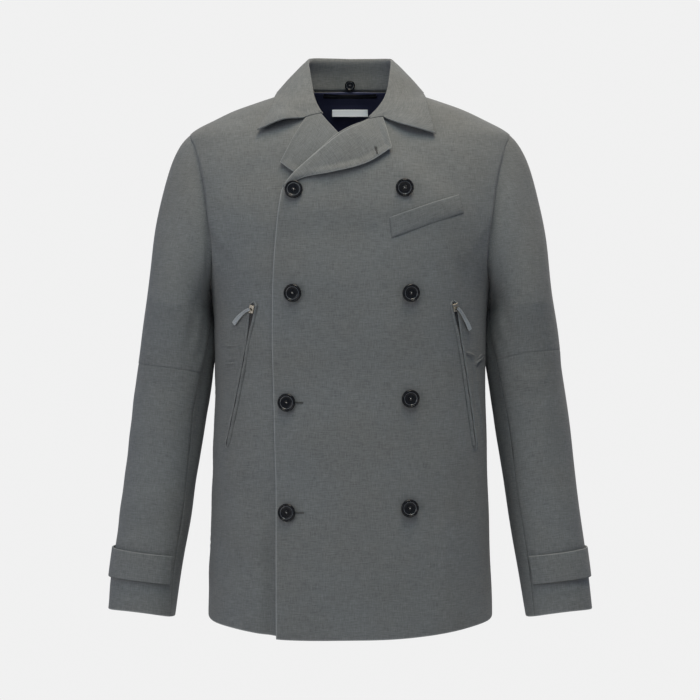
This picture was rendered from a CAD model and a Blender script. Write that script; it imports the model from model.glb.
# %% [markdown]
# # A short double-breasted coat, as its cloth, horn and metal look
# The solids of the coat are finished already: every panel is a plain wall, hung on rings round
# the body. This lesson keeps those sizes and gives each wall the surface of the real piece:
# pressed seams, rounded edges, rolled lapels, folds, weave and stitches.

# %% Load the finished solids
import math

import bmesh
import bpy
import numpy as np
from mathutils import Matrix, Vector


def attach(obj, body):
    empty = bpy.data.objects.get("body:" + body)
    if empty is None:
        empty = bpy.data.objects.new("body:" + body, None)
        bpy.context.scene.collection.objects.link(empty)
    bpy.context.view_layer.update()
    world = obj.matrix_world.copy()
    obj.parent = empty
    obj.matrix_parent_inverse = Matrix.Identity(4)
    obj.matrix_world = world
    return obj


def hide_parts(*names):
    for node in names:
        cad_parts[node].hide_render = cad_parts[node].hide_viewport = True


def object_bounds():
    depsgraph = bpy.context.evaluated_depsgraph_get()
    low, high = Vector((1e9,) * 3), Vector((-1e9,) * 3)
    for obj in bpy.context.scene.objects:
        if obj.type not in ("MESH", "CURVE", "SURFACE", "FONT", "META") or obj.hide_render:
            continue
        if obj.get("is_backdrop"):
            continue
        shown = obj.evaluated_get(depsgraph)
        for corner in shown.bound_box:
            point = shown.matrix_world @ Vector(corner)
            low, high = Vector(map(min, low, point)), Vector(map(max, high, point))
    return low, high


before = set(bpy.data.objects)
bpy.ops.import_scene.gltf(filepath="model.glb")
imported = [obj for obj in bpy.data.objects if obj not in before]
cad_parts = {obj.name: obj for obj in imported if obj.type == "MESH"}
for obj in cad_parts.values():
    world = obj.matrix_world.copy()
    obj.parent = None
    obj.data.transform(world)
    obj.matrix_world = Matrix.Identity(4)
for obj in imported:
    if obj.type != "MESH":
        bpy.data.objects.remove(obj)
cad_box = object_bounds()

print(len(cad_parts), "solids in", [tuple(round(c, 3) for c in corner) for corner in cad_box])

# %% [markdown]
# ## Camera and studio
# A product photograph of a coat is taken level with its middle, from a few metres away, so that
# nothing looks stretched. The camera stands 3 m in front, and its lens is chosen so that 0.98 m
# of the coat's own depth fills the picture. A large soft key hangs above the front, a warm light
# stands overhead, a weaker one fills from the left, one lights the back, and the pale
# surroundings light the rest. A few helpers come first, for objects, nodes and materials.

# %% Helpers for objects and nodes
def placed(name, data):
    """A new object in the scene."""
    made = bpy.data.objects.new(name, data)
    bpy.context.scene.collection.objects.link(made)
    return made


def fill(tree, inputs, given):
    """Sets each input socket to its value, or joins it to the socket that feeds it."""
    for key, value in given.items():
        if isinstance(value, bpy.types.NodeSocket):
            tree.links.new(value, inputs[key])
        else:
            inputs[key].default_value = value


def wire(tree, kind, given=(), **settings):
    """Adds a node, sets its properties, and fills its inputs."""
    node = tree.nodes.new(kind)
    for key, value in settings.items():
        setattr(node, key, value)
    fill(tree, node.inputs, dict(given))
    return node


def new_material(name):
    """A material with nodes, its tree, and the inputs of its shader."""
    material = bpy.data.materials.new(name)
    material.use_nodes = True
    tree = material.node_tree
    return material, tree, tree.nodes["Principled BSDF"].inputs


# %% Camera
PICTURE_WIDTH = 0.98
CAMERA_DISTANCE = 3.0
CAMERA_LEVEL = -0.3556

camera_data = bpy.data.cameras.new("camera")
camera_data.sensor_width = 36.0
camera_data.lens = camera_data.sensor_width * CAMERA_DISTANCE / PICTURE_WIDTH
camera = placed("camera", camera_data)
camera.location = (0, -CAMERA_DISTANCE, CAMERA_LEVEL)
camera.rotation_euler = (math.pi / 2, 0, 0)
bpy.context.scene.camera = camera
bpy.context.scene.view_settings.view_transform = "Standard"
print(f"lens {camera_data.lens:.1f} mm")

# %% Lights
LIGHT_AIM = Vector((0, 0, -0.3))
# Where each one stands, how wide it is, its watts and its colour
LIGHTS = {
    "key": ((0.1, -1.4, 2.0), 1.5, 34, (0.93, 1.0, 0.93)),
    "overhead": ((0.35, -0.45, 2.2), 1.2, 50, (1.0, 0.82, 0.62)),
    "fill": ((-2.6, -2.2, 0.4), 1.8, 28, (1.0, 0.955, 0.94)),
    "back_light": ((0.6, 2.6, 1.6), 2.0, 30, (1.0, 1.0, 1.0)),
}
for light_name, (light_place, width, watts, colour) in LIGHTS.items():
    lamp_data = bpy.data.lights.new(light_name, "AREA")
    lamp_data.shape, lamp_data.size = "DISK", width
    lamp_data.energy, lamp_data.color = watts, colour
    lamp = placed(light_name, lamp_data)
    lamp.location = light_place
    aim = LIGHT_AIM - Vector(light_place)
    lamp.rotation_euler = aim.to_track_quat("-Z", "Y").to_euler()

# %% [markdown]
# The camera sees the surroundings in one colour, and the light that they cast on the coat has
# another. The floor is a plain pale sheet well below the hem. A camera ray sees it as bright as
# the surroundings, so that no horizon cuts the picture, and every other ray meets a matt surface.

# %% Surroundings and floor
BACKGROUND = (0.877, 0.877, 0.877, 1)
CAST_COLOUR, CAST_STRENGTH = (0.68, 0.77, 1.0, 1), 0.345
FLOOR_LEVEL, FLOOR_HALF = -1.05, 8.0


def split_rays(tree, output, cast, seen):
    """Camera rays meet the shader `seen`, and all others meet `cast`."""
    path = wire(tree, "ShaderNodeLightPath").outputs["Is Camera Ray"]
    mix = wire(tree, "ShaderNodeMixShader", {0: path, 1: cast, 2: seen})
    fill(tree, tree.nodes[output].inputs, {"Surface": mix.outputs["Shader"]})


def make_surroundings():
    world = bpy.data.worlds.new("studio")
    bpy.context.scene.world = world
    world.use_nodes = True
    tree = world.node_tree
    light = tree.nodes["Background"]
    fill(tree, light.inputs, {"Color": CAST_COLOUR, "Strength": CAST_STRENGTH})
    plain = wire(tree, "ShaderNodeBackground", {"Color": BACKGROUND})
    split_rays(tree, "World Output", light.outputs[0], plain.outputs[0])


def make_floor():
    mesh = bpy.data.meshes.new("floor")
    ways = ((-1, -1), (1, -1), (1, 1), (-1, 1))
    corners = [(x * FLOOR_HALF, y * FLOOR_HALF, FLOOR_LEVEL) for x, y in ways]
    mesh.from_pydata(corners, [], [(0, 1, 2, 3)])
    material, tree, matt = new_material("pale_floor")
    fill(tree, matt, {"Base Color": (0.70, 0.70, 0.70, 1), "Roughness": 0.9})
    glow = wire(tree, "ShaderNodeEmission", {"Color": BACKGROUND})
    plain = tree.nodes["Principled BSDF"]
    split_rays(tree, "Material Output", plain.outputs["BSDF"], glow.outputs["Emission"])
    mesh.materials.append(material)
    placed("floor", mesh)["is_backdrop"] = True


make_surroundings()
make_floor()

# %% [markdown]
# ## Sizes that the solids were drawn from
# The same short tables drive the fine cloth here, so every new surface lies where its solid is.
# `read` follows a smooth curve through a table's rows, and `fade` is the S-shaped step that all
# soft changes below are made with.


# %% Tables and curves
def table(columns, *rows):
    """Rows of numbers under named columns, as one array for each name."""
    return dict(zip(columns.split(), np.array(rows, float).T))


def read(rows, name, at):
    keys = next(iter(rows.values()))
    values = rows[name]
    slopes = np.gradient(values, keys)
    low = np.clip(np.searchsorted(keys, at) - 1, 0, len(keys) - 2)
    span = keys[low + 1] - keys[low]
    t = (np.asarray(at, float) - keys[low]) / span
    rise = t * t * (3 - 2 * t)
    bend = t * (1 - t) * ((1 - t) * slopes[low] - t * slopes[low + 1])
    return values[low] * (1 - rise) + values[low + 1] * rise + bend * span


def fade(value, none, full):
    t = np.clip((np.asarray(value, float) - none) / (full - none), 0, 1)
    return t * t * (3 - 2 * t)


def unit(vectors):
    return vectors / np.linalg.norm(vectors, axis=-1, keepdims=True)


def bell(value, width):
    """1 where the value is 0, and next to nothing two widths away."""
    return np.exp(-((value / width) ** 2))


def signed_power(value, power):
    return np.sign(value) * np.abs(value) ** power


def pushed(points, normals, distance):
    """The points moved out along their normals."""
    return points + normals * distance[..., None]


# %% Body sizes
CLOTH = 0.0018
EASE = 0.0009
SHOULDER_TIP, ARMPIT, HEM, FRONT_TOP = -0.0553, -0.265, -0.717, 0.0065
HEM_DIP, BACK_DIP, HEM_REACH, BACK_NECK_RISE = 0.027, 0.012, 0.2, 0.008
BODY = table(
    "height half_width front back square",
    (-0.745, 0.198, 0.135, 0.131, 2.5), (-0.664, 0.196, 0.134, 0.127, 2.5),
    (-0.496, 0.191, 0.131, 0.118, 2.5), (-0.368, 0.1885, 0.13, 0.113, 2.5),
    (-0.3, 0.1912, 0.132, 0.118, 2.5), (-0.265, 0.196, 0.133, 0.121, 2.5),
    (-0.225, 0.2115, 0.131, 0.124, 2.48), (-0.166, 0.229, 0.125, 0.125, 2.42),
    (-0.1085, 0.235, 0.112, 0.118, 2.27), (-0.0766, 0.231, 0.101, 0.11, 2.12),
    (-0.0553, 0.2235, 0.09, 0.103, 2.03), (-0.0356, 0.1905, 0.078, 0.094, 2.0),
    (-0.019, 0.1555, 0.065, 0.086, 2.0), (-0.01, 0.13, 0.056, 0.081, 2.0),
    (0.0, 0.1, 0.045, 0.077, 2.0), (0.008, 0.078, 0.034, 0.074, 2.0),
    (0.016, 0.06, 0.02, 0.072, 2.0),
)
ARMHOLE_DEPTH = {"front": 0.37, "back": 0.33}
ARMHOLE_SQUARE = 2.3


# %% Body surface
def body(turn, height):
    """The outer face at a turn: 0 front, 1 wearer's left side, 2 back, less than 0 on the right."""
    turn, height = np.broadcast_arrays(np.asarray(turn, float), np.asarray(height, float))
    angle = turn * math.pi / 2
    in_front = np.cos(angle) > 0
    deep = np.where(in_front, read(BODY, "front", height), read(BODY, "back", height))
    power = 2 / read(BODY, "square", height)
    across = read(BODY, "half_width", height) * signed_power(np.sin(angle), power)
    return np.stack([across, -deep * signed_power(np.cos(angle), power), height], -1)


def body_normal(turn, height):
    step = 1e-4
    round_it = body(turn + step, height) - body(turn - step, height)
    up_it = body(turn, height + step) - body(turn, height - step)
    return unit(np.cross(round_it, up_it))


def turn_at(across, height):
    share = np.clip(across / read(BODY, "half_width", height), -1, 1)
    return np.arcsin(signed_power(share, read(BODY, "square", height) / 2)) * 2 / math.pi


def on_front(across, height, lift=0.0):
    """A point on the front at this width and height, lifted off the cloth, and its normal."""
    turn = turn_at(np.asarray(across, float), np.asarray(height, float))
    normal = body_normal(turn, height)
    return body(turn, height) + normal * np.asarray(lift)[..., None], normal


def armhole(angle, side):
    middle, half = (SHOULDER_TIP + ARMPIT) / 2, (SHOULDER_TIP - ARMPIT) / 2
    height = middle + half * signed_power(np.cos(angle), 2 / ARMHOLE_SQUARE)
    depth = ARMHOLE_DEPTH[side] * np.abs(np.sin(angle)) ** (2 / ARMHOLE_SQUARE)
    return (1 - depth if side == "front" else 1 + depth), height


def hang(turns, heights):
    """Lowers the rows near the hem, most at the middle of the front, and lifts the back neck."""
    angle = turns * math.pi / 2
    low = fade(heights, HEM + HEM_REACH, HEM)
    ahead, behind = np.clip(np.cos(angle), 0, 1), np.clip(-np.cos(angle), 0, 1)
    # The front hem turns quickly at the side, then slopes gently to the middle
    shape = 0.43 * (1 - np.exp(-ahead / 0.14)) + 0.57 * ahead**3
    dip = HEM_DIP * shape + BACK_DIP * behind
    rise = BACK_NECK_RISE * behind * fade(heights, FRONT_TOP - 0.03, FRONT_TOP)
    return heights - dip * low + rise


print("half width at the chest", round(float(read(BODY, "half_width", -0.15)), 4), "m")

# %% Free edges of the two fronts
TOP_EDGE = table(
    "height across",
    (-0.745, -0.0965), (-0.6, -0.0985), (-0.446, -0.1018), (-0.315, -0.1045), (-0.231, -0.102),
    (-0.189, -0.0985), (-0.157, -0.094), (-0.137, -0.0895), (-0.117, -0.0732), (-0.0856, -0.0405),
    (-0.063, -0.0142), (-0.0515, 0.0054), (-0.0399, 0.0259), (-0.028, 0.04), (-0.012, 0.056),
    (0.0065, 0.074),
)
UNDER_EDGE = table(
    "height across",
    (-0.745, 0.096), (-0.5, 0.097), (-0.3, 0.098), (-0.2, 0.097), (-0.15, 0.086), (-0.117, 0.05),
    (-0.0856, 0.013), (-0.063, -0.0142), (-0.0422, -0.0326), (-0.028, -0.043), (-0.012, -0.057),
    (0.0065, -0.074),
)


def top_front_lift(across, height):
    """How far the top front stands off the body, over the front and the lapel beneath it."""
    past_edge = across - read(UNDER_EDGE, "across", height)
    overlapping = fade(past_edge, 0.08, 0.017) * fade(height, -0.025, -0.062)
    return overlapping * (CLOTH + EASE + 0.004 * fade(height, -0.205, -0.158))


# %% [markdown]
# ## Cloth as a thin shell
# A flat panel with thickness could be made with a Solidify modifier, but its edges would stay
# square and its inside would show the outside's cloth. Here each panel is a fine grid of points
# and a second grid behind it. Near a free edge the two grids bend towards each other, which
# rounds the turned edge. Near a seam the outer grid dips, which makes the pressed groove.

# %% Where grid lines go
EDGE_STEPS = (0.0, 0.00025, 0.0006, 0.0011, 0.0018, 0.0028, 0.004)


def lines(length, step, fine=(True, True)):
    """Shares from 0 to 1 along a length, close together near the ends that are edges."""
    low = np.array(EDGE_STEPS) if fine[0] else np.zeros(1)
    high = length - np.array(EDGE_STEPS[::-1]) if fine[1] else np.array([length])
    count = max(2, int(round((high[0] - low[-1]) / step)) + 1)
    middle = np.linspace(low[-1], high[0], count)[1:-1]
    return np.concatenate([low, middle, high]) / length


def cumulative(points, axis):
    """Distance along the grid lines of one axis, from their first points."""
    steps = np.linalg.norm(np.diff(points, axis=axis), axis=-1)
    pad = [(0, 0), (0, 0)]
    pad[axis] = (1, 0)
    return np.cumsum(np.pad(steps, pad), axis=axis)


def cloth_axes(points):
    """Cloth coordinates: the distance across and up a grid, in metres."""
    return np.stack([cumulative(points, 1), cumulative(points, 0)], -1)


def border_distance(points, border):
    across, up = cumulative(points, 1), cumulative(points, 0)
    return {
        "left": across,
        "right": across[:, -1:] - across,
        "bottom": up,
        "top": up[-1:, :] - up,
    }[border]


# %% Build one shell
SEAM_DEPTH = 0.0006
SEAM_WIDTH = 0.0014
SEAM_STRENGTH = {"seam": 1.0, "faint": 0.45}
PRESSED_DARK = 1.4  # a free edge that lies close on other cloth, seen as a dark line
SEWN_DARK = 0.35  # a free edge that is sewn down
DARK_WIDTH, WORN_WIDTH = 0.0009, 0.0012  # of the dark line in a seam, and of the worn light line


def rounded(distance, radius):
    """How far a face sinks towards the middle of the cloth, this far from a turned edge."""
    inside = np.clip(radius - distance, 0, radius * 0.995)
    return radius - np.sqrt(radius**2 - inside**2)


def shell_faces(rows, columns):
    """Quads of the outer grid, of the inner grid behind it, and of the strip round both."""
    grid = np.arange(rows * columns).reshape(rows, columns)
    corners = [grid[:-1, :-1], grid[:-1, 1:], grid[1:, 1:], grid[1:, :-1]]
    outer = np.stack(corners, -1).reshape(-1, 4)
    behind = rows * columns
    inner = outer[:, ::-1] + behind
    ring = np.concatenate([grid[0], grid[1:, -1], grid[-1, -2::-1], grid[-2:0:-1, 0]])
    after = np.roll(ring, -1)
    strip = np.stack([ring, ring + behind, after + behind, after], -1)
    return outer, inner, strip


def make_shell(
    name, points, normals, thickness, borders, cloth_uv, materials, facing=0.0, glow=1.0, sewn=0.0
):
    """`borders` names each side that is free, pressed, a seam or a faint seam. `facing` is how far
    the outer cloth is turned in behind a free edge, with the second material on the rest of the
    inside. `glow` weakens the worn line on free edges, and `sewn` makes parts of them seams."""
    rows, columns = points.shape[:2]
    sink, groove, dark = np.zeros((3, rows, columns))
    from_free = np.full((rows, columns), 1.0)
    for border, kind in borders.items():
        distance = border_distance(points, border)
        if kind in ("free", "pressed"):
            sink = np.maximum(sink, rounded(distance, thickness / 2))
        if kind == "free":
            from_free = np.minimum(from_free, distance)
        elif kind in SEAM_STRENGTH:
            depth = SEAM_DEPTH * SEAM_STRENGTH[kind]
            groove = np.maximum(groove, depth * bell(distance, SEAM_WIDTH))
        if kind in SEAM_STRENGTH or kind == "pressed":
            strength = SEAM_STRENGTH.get(kind, PRESSED_DARK)
            dark = np.maximum(dark, strength * bell(distance, DARK_WIDTH))
    sink = sink * (1 - sewn)
    dark = np.maximum(dark, SEWN_DARK * sewn * bell(from_free, DARK_WIDTH))
    outer_points = points - normals * (sink + groove)[..., None]
    inner_points = points - normals * (thickness - sink)[..., None]
    outer, inner, strip = shell_faces(rows, columns)
    mesh = bpy.data.meshes.new(name)
    vertices = np.concatenate([outer_points.reshape(-1, 3), inner_points.reshape(-1, 3)])
    mesh.from_pydata(vertices.tolist(), [], np.concatenate([outer, inner, strip]).tolist())
    for material in materials:
        mesh.materials.append(material)
    if len(materials) > 1:
        turned_in = (from_free[:-1, :-1] < facing).reshape(-1)
        slots = np.zeros(len(mesh.polygons), np.int32)
        slots[len(outer) : len(outer) + len(inner)] = np.where(turned_in, 0, 1)
        mesh.polygons.foreach_set("material_index", slots)
    worn = glow * (1 - sewn) * bell(from_free, WORN_WIDTH)
    for label, values in (("edge", worn), ("seam", dark)):
        layer = mesh.attributes.new(label, "FLOAT", "POINT")
        layer.data.foreach_set("value", np.tile(values.reshape(-1), 2).astype(np.float32))
    corner = np.empty(len(mesh.loops), np.int32)
    mesh.loops.foreach_get("vertex_index", corner)
    flat = np.tile(cloth_uv.reshape(-1, 2), (2, 1))[corner]
    mesh.uv_layers.new(name="cloth").data.foreach_set("uv", flat.astype(np.float32).reshape(-1))
    mesh.shade_smooth()
    return placed(name, mesh)


# %% [markdown]
# ## Folds
# Worn cloth shows a few folds that matter, and they are never evenly spaced. Each fold here is
# placed by hand: a path on the surface, a height that is less than nothing for a trough, a width,
# and ends that fade out. The push is along the cloth's own normal, so it works on any panel.


# %% Push a fold into a panel
FLANK_DIP, CREST_FALL = 0.45, 0.75
def path_distance(points, path):
    """Distance of each point to a broken line, and how far along it the nearest place is."""
    flat = points.reshape(-1, 3)
    lengths = np.linalg.norm(np.diff(path, axis=0), axis=1)
    starts = np.concatenate([[0], np.cumsum(lengths)])
    best = np.full(len(flat), 9.0)
    along = np.zeros(len(flat))
    for a, b, length, start in zip(path, path[1:], lengths, starts):
        run = (b - a) / length
        t = np.clip((flat - a) @ run, 0, length)
        gap = np.linalg.norm(flat - (a + t[:, None] * run), axis=1)
        nearer = gap < best
        best[nearer] = gap[nearer]
        along[nearer] = (start + t[nearer]) / starts[-1]
    return best.reshape(points.shape[:2]), along.reshape(points.shape[:2])


def fold(points, path, height, width, ends="both"):
    """How far each point moves out. A fold's flanks dip a little beside its crest."""
    distance, along = path_distance(points, np.asarray(path, float))
    s = (distance / width) ** 2
    shape = (1 - FLANK_DIP * s) * np.exp(-CREST_FALL * s)
    taper = {
        "both": np.sin(np.pi * np.clip(along, 0, 1)) ** 0.7,
        "start": fade(along, 0.0, 0.5),
        "end": fade(along, 1.0, 0.5),
    }[ends]
    return height * shape * taper


def ripple(uv, size, seed):
    """Slow unevenness of hanging cloth: a few long waves that never repeat together."""
    rng = np.random.default_rng(seed)
    total = np.zeros(uv.shape[:2])
    for _ in range(9):
        length = rng.uniform(0.05, 0.17)
        angle = rng.uniform(-0.9, 0.9) if rng.random() < 0.65 else rng.uniform(1.2, 1.9)
        phase = rng.uniform(0, 2 * math.pi)
        wave = uv[..., 0] * math.cos(angle) + uv[..., 1] * math.sin(angle)
        total += np.sin(wave * 2 * math.pi / length + phase)
    return size * total / 3


def pucker(distance, along, size, reach=0.012):
    """Small uneven gathers square to a seam, which fade out within a few millimetres."""
    wobble = np.sin(along / 0.0115 * 2 * math.pi + 1.7 * np.sin(along / 0.043))
    wobble += 0.6 * np.sin(along / 0.0073 * 2 * math.pi + 2.1)
    return size * wobble * bell(distance, reach)


# %% [markdown]
# ## Cloth, lining, horn and metal
# The shell is a matt plain weave with slubs: threads that swell and thin, seen as short pale and
# dark streaks along both directions. One node group makes that weave from the cloth's own
# coordinates, in metres, so the threads keep their size and turn with every panel. The label, the
# lining and the shell all use it with their own thread and slub sizes.


# %% Helpers for node groups
def new_group(name, kind, inputs, outputs):
    """A group, its inputs and its outputs. Sockets are (name, kind, default) and (name, kind)."""
    tree = bpy.data.node_groups.new(name, kind)
    for label, shape, *default in inputs:
        socket = tree.interface.new_socket(label, in_out="INPUT", socket_type="NodeSocket" + shape)
        if default:
            socket.default_value = default[0]
    for label, shape in outputs:
        tree.interface.new_socket(label, in_out="OUTPUT", socket_type="NodeSocket" + shape)
    given, result = tree.nodes.new("NodeGroupInput"), tree.nodes.new("NodeGroupOutput")
    return tree, given.outputs, result.inputs


def maths(tree, operation, *terms):
    return wire(tree, "ShaderNodeMath", dict(enumerate(terms)), operation=operation).outputs[0]


def mixed(tree, amount, first, second, **settings):
    given = {0: amount, 6: first, 7: second}
    return wire(tree, "ShaderNodeMix", given, data_type="RGBA", **settings).outputs[2]


def noise(tree, place, scale, detail):
    given = {"Vector": place, "Scale": scale, "Detail": detail, "Roughness": 0.6}
    return wire(tree, "ShaderNodeTexNoise", given).outputs["Fac"]


def raised(tree, height, strength, distance):
    given = {"Height": height, "Strength": strength, "Distance": distance}
    return wire(tree, "ShaderNodeBump", given).outputs["Normal"]


# %% The weave group
def stretched_noise(tree, axes, long_axis, length, width, seed):
    """Noise drawn out along one direction of the cloth: slubs of this length and width."""
    size = [length, width] if long_axis == 0 else [width, length]
    place = {k: maths(tree, "DIVIDE", axes[k], size[k]) for k in (0, 1)}
    return noise(tree, wire(tree, "ShaderNodeCombineXYZ", {**place, 2: seed}).outputs[0], 1.0, 2.0)


def build_weave():
    tree, given, result = new_group(
        "plain_weave",
        "ShaderNodeTree",
        [
            ("Cloth", "Vector"),
            ("Thread", "Float", 0.001),
            ("Slub Length", "Float", 0.014),
            ("Slub Width", "Float", 0.0012),
        ],
        [("Height", "Float"), ("Streaks", "Float")],
    )
    axes = wire(tree, "ShaderNodeSeparateXYZ", {0: given["Cloth"]}).outputs
    count = maths(tree, "DIVIDE", 2 * math.pi, given["Thread"])
    over, under = (maths(tree, "SINE", maths(tree, "MULTIPLY", axes[k], count)) for k in (0, 1))
    length, width = given["Slub Length"], given["Slub Width"]
    short, thin = maths(tree, "MULTIPLY", length, 0.4), maths(tree, "MULTIPLY", width, 0.55)
    total = None
    for weight, axis, long_side, short_side in (
        (0.32, 0, length, width),
        (0.27, 1, length, width),
        (0.21, 0, short, thin),
        (0.2, 1, short, thin),
    ):
        slubs = stretched_noise(tree, axes, axis, long_side, short_side, 3.7 * weight + axis)
        part = maths(tree, "MULTIPLY", slubs, weight)
        total = part if total is None else maths(tree, "ADD", total, part)
    crossing = maths(tree, "MULTIPLY", maths(tree, "MULTIPLY", over, under), 0.10)
    fill(tree, result, {"Height": maths(tree, "ADD", crossing, total), "Streaks": total})
    return tree


WEAVE = build_weave()
print("weave group:", len(WEAVE.nodes), "nodes")


# %% The group for worn edges and pressed seams
def build_wear():
    """Free edges catch light along a worn line, and seams hold a line of shadow."""
    tree, given, result = new_group(
        "edges_and_seams",
        "ShaderNodeTree",
        [
            ("Colour", "Color", (0.1, 0.1, 0.1, 1)),
            ("Worn Colour", "Color", (0.3, 0.3, 0.3, 1)),
            ("Shadow Colour", "Color", (0.04, 0.04, 0.04, 1)),
            ("Edge", "Float", 0.0),
            ("Seam", "Float", 0.0),
        ],
        [("Colour", "Color")],
    )
    edge = maths(tree, "MULTIPLY", given["Edge"], 0.60)
    worn = mixed(tree, edge, given["Colour"], given["Worn Colour"])
    seam = maths(tree, "MULTIPLY", given["Seam"], 0.5)
    fill(tree, result, {"Colour": mixed(tree, seam, worn, given["Shadow Colour"])})
    return tree


WEAR = build_wear()


# %% Cloth materials
WORN_LIGHT, SEAM_DARK = 2.1, 0.45  # how much lighter a worn edge is, and how much darker a seam


def scaled(colour, factor):
    return tuple(min(1.0, factor * c) for c in colour[:3]) + (1,)


def spread(tree, value, low, high):
    given = {"Value": value, "From Min": low, "From Max": high}
    return wire(tree, "ShaderNodeMapRange", given).outputs["Result"]


def cloth_material(
    name, dark, light, thread, slub, roughness, bump, contrast, tint=None, sheen=0.0
):
    """A woven finish. `dark` and `light` are what the streaks run between."""
    material, tree, shader = new_material(name)
    uv = wire(tree, "ShaderNodeUVMap", uv_map="cloth").outputs["UV"]
    given = {"Cloth": uv, "Thread": thread, "Slub Length": slub[0], "Slub Width": slub[1]}
    weave = wire(tree, "ShaderNodeGroup", given, node_tree=WEAVE).outputs
    streaks = spread(tree, weave["Streaks"], 0.5 - contrast, 0.5 + contrast)
    colour = mixed(tree, streaks, dark, light)
    if tint:
        place = wire(tree, "ShaderNodeTexCoord").outputs["Object"]
        clouds = spread(tree, noise(tree, place, 9.0, 4.0), 0.36, 0.64)
        colour = mixed(tree, clouds, colour, tint, blend_type="MULTIPLY")
    worn, shadow = scaled(light, WORN_LIGHT), scaled(dark, SEAM_DARK)
    given = {"Colour": colour, "Worn Colour": worn, "Shadow Colour": shadow}
    for label in ("Edge", "Seam"):
        line = wire(tree, "ShaderNodeAttribute", attribute_name=label.lower())
        given[label] = line.outputs["Fac"]
    wear = wire(tree, "ShaderNodeGroup", given, node_tree=WEAR).outputs["Colour"]
    relief = raised(tree, weave["Height"], bump, 0.0004)
    fill(tree, shader, {"Base Color": wear, "Normal": relief, "Roughness": roughness})
    fill(tree, shader, {"Specular IOR Level": 0.25, "Sheen Weight": sheen})
    return material


SHELL_DARK, SHELL_LIGHT = (0.084, 0.092, 0.095, 1), (0.156, 0.167, 0.17, 1)
SHELL_TINT, SHELL_SHEEN = (0.97, 0.945, 0.915, 1), 0.08
LINING_DARK, LINING_LIGHT = (0.038, 0.042, 0.086, 1), (0.054, 0.059, 0.116, 1)
LOOP_DARK, LOOP_LIGHT = (0.003, 0.0032, 0.006, 1), (0.006, 0.0062, 0.0105, 1)
LABEL_DARK, LABEL_LIGHT = (0.9, 0.95, 0.98, 1), (0.97, 0.98, 1.0, 1)
# Then thread, slub length and width, roughness, bump and the contrast of the streaks
SHELL, LINING, LOOP, LABEL = (
    cloth_material(*row)
    for row in (
        ("shell_weave", SHELL_DARK, SHELL_LIGHT, 0.0009, (0.0135, 0.0010), 0.88, 0.35, 0.12)
        + (SHELL_TINT, SHELL_SHEEN),
        ("lining_satin", LINING_DARK, LINING_LIGHT, 0.0004, (0.030, 0.0010), 0.55, 0.10, 0.25),
        ("loop_cord", LOOP_DARK, LOOP_LIGHT, 0.0005, (0.006, 0.0006), 0.85, 0.20, 0.25),
        ("label_weave", LABEL_DARK, LABEL_LIGHT, 0.0006, (0.004, 0.0006), 0.75, 0.25, 0.20),
    )
)
print("cloths:", SHELL.name, LINING.name, LOOP.name, LABEL.name)


# %% [markdown]
# Horn, plated metal, zip tape, thread and the pulls are small, so their detail is in the grain:
# polished horn is darker in soft clouds and has a clear gloss, plating is slightly brushed.


# %% The grain group
def build_grain():
    tree, given, result = new_group(
        "fine_grain",
        "ShaderNodeTree",
        [
            ("Place", "Vector"),
            ("Scale", "Float", 400.0),
            ("Dark", "Color", (0, 0, 0, 1)),
            ("Light", "Color", (1, 1, 1, 1)),
            ("Roughness", "Float", 0.5),
        ],
        [("Colour", "Color"), ("Roughness", "Float"), ("Height", "Float")],
    )
    grain = noise(tree, given["Place"], given["Scale"], 4.0)
    colour = mixed(tree, grain, given["Dark"], given["Light"])
    vary = maths(tree, "ADD", maths(tree, "MULTIPLY", grain, 0.5), 0.75)
    roughness = maths(tree, "MULTIPLY", given["Roughness"], vary)
    fill(tree, result, {"Colour": colour, "Roughness": roughness, "Height": grain})
    return tree


GRAIN = build_grain()


# %% Hard materials
def hard_material(name, dark, light, roughness, scale, metallic=0.0, specular=0.5):
    """A finish with fine grain, between two greys or colours given as (r, g, b)."""
    material, tree, shader = new_material(name)
    place = wire(tree, "ShaderNodeTexCoord").outputs["Object"]
    given = {"Place": place, "Scale": scale, "Roughness": roughness}
    given.update({"Dark": (*dark, 1), "Light": (*light, 1)})
    grain = wire(tree, "ShaderNodeGroup", given, node_tree=GRAIN).outputs
    relief = raised(tree, grain["Height"], 0.05, 0.0002)
    look = {"Base Color": grain["Colour"], "Roughness": grain["Roughness"], "Normal": relief}
    fill(tree, shader, {**look, "Metallic": metallic, "Specular IOR Level": specular})
    return material


# Dark and light colours, roughness and grain scale, then metallic and specular where they differ
HORN, HORN_RING, KNOT, METAL, ZIP_DARK, PULL, THREAD, BLACK_THREAD = (
    hard_material(*row)
    for row in (
        ("black_horn", (0.0025, 0.0030, 0.0038), (0.0085, 0.0095, 0.0115), 0.20, 400, 0.0, 0.22),
        ("worn_horn", (0.020, 0.023, 0.027), (0.12, 0.13, 0.14), 0.25, 260),
        ("pale_thread", (0.42, 0.41, 0.39), (0.62, 0.61, 0.58), 0.7, 2500),
        ("nickel", (0.13, 0.12, 0.10), (0.50, 0.46, 0.38), 0.34, 700, 1.0),
        ("zip_teeth_dark", (0.010, 0.010, 0.011), (0.05, 0.05, 0.05), 0.40, 900),
        ("pull_grey", (0.22, 0.24, 0.25), (0.33, 0.355, 0.365), 0.50, 700),
        ("grey_thread", (0.050, 0.053, 0.053), (0.095, 0.10, 0.10), 0.85, 2500),
        ("black_thread", (0.010, 0.010, 0.012), (0.03, 0.03, 0.033), 0.7, 2500),
    )
)
print("finishes in all:", len(bpy.data.materials))


# %% [markdown]
# ## Finishing a piece
# Every piece rides on a body of the solids, names the finish it takes, and says which plain solid
# it stands for. Cloth also says how large it was cut. Its width and length are measured along the
# sheet, before any fold, and its area is what the grid covers.


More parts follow.
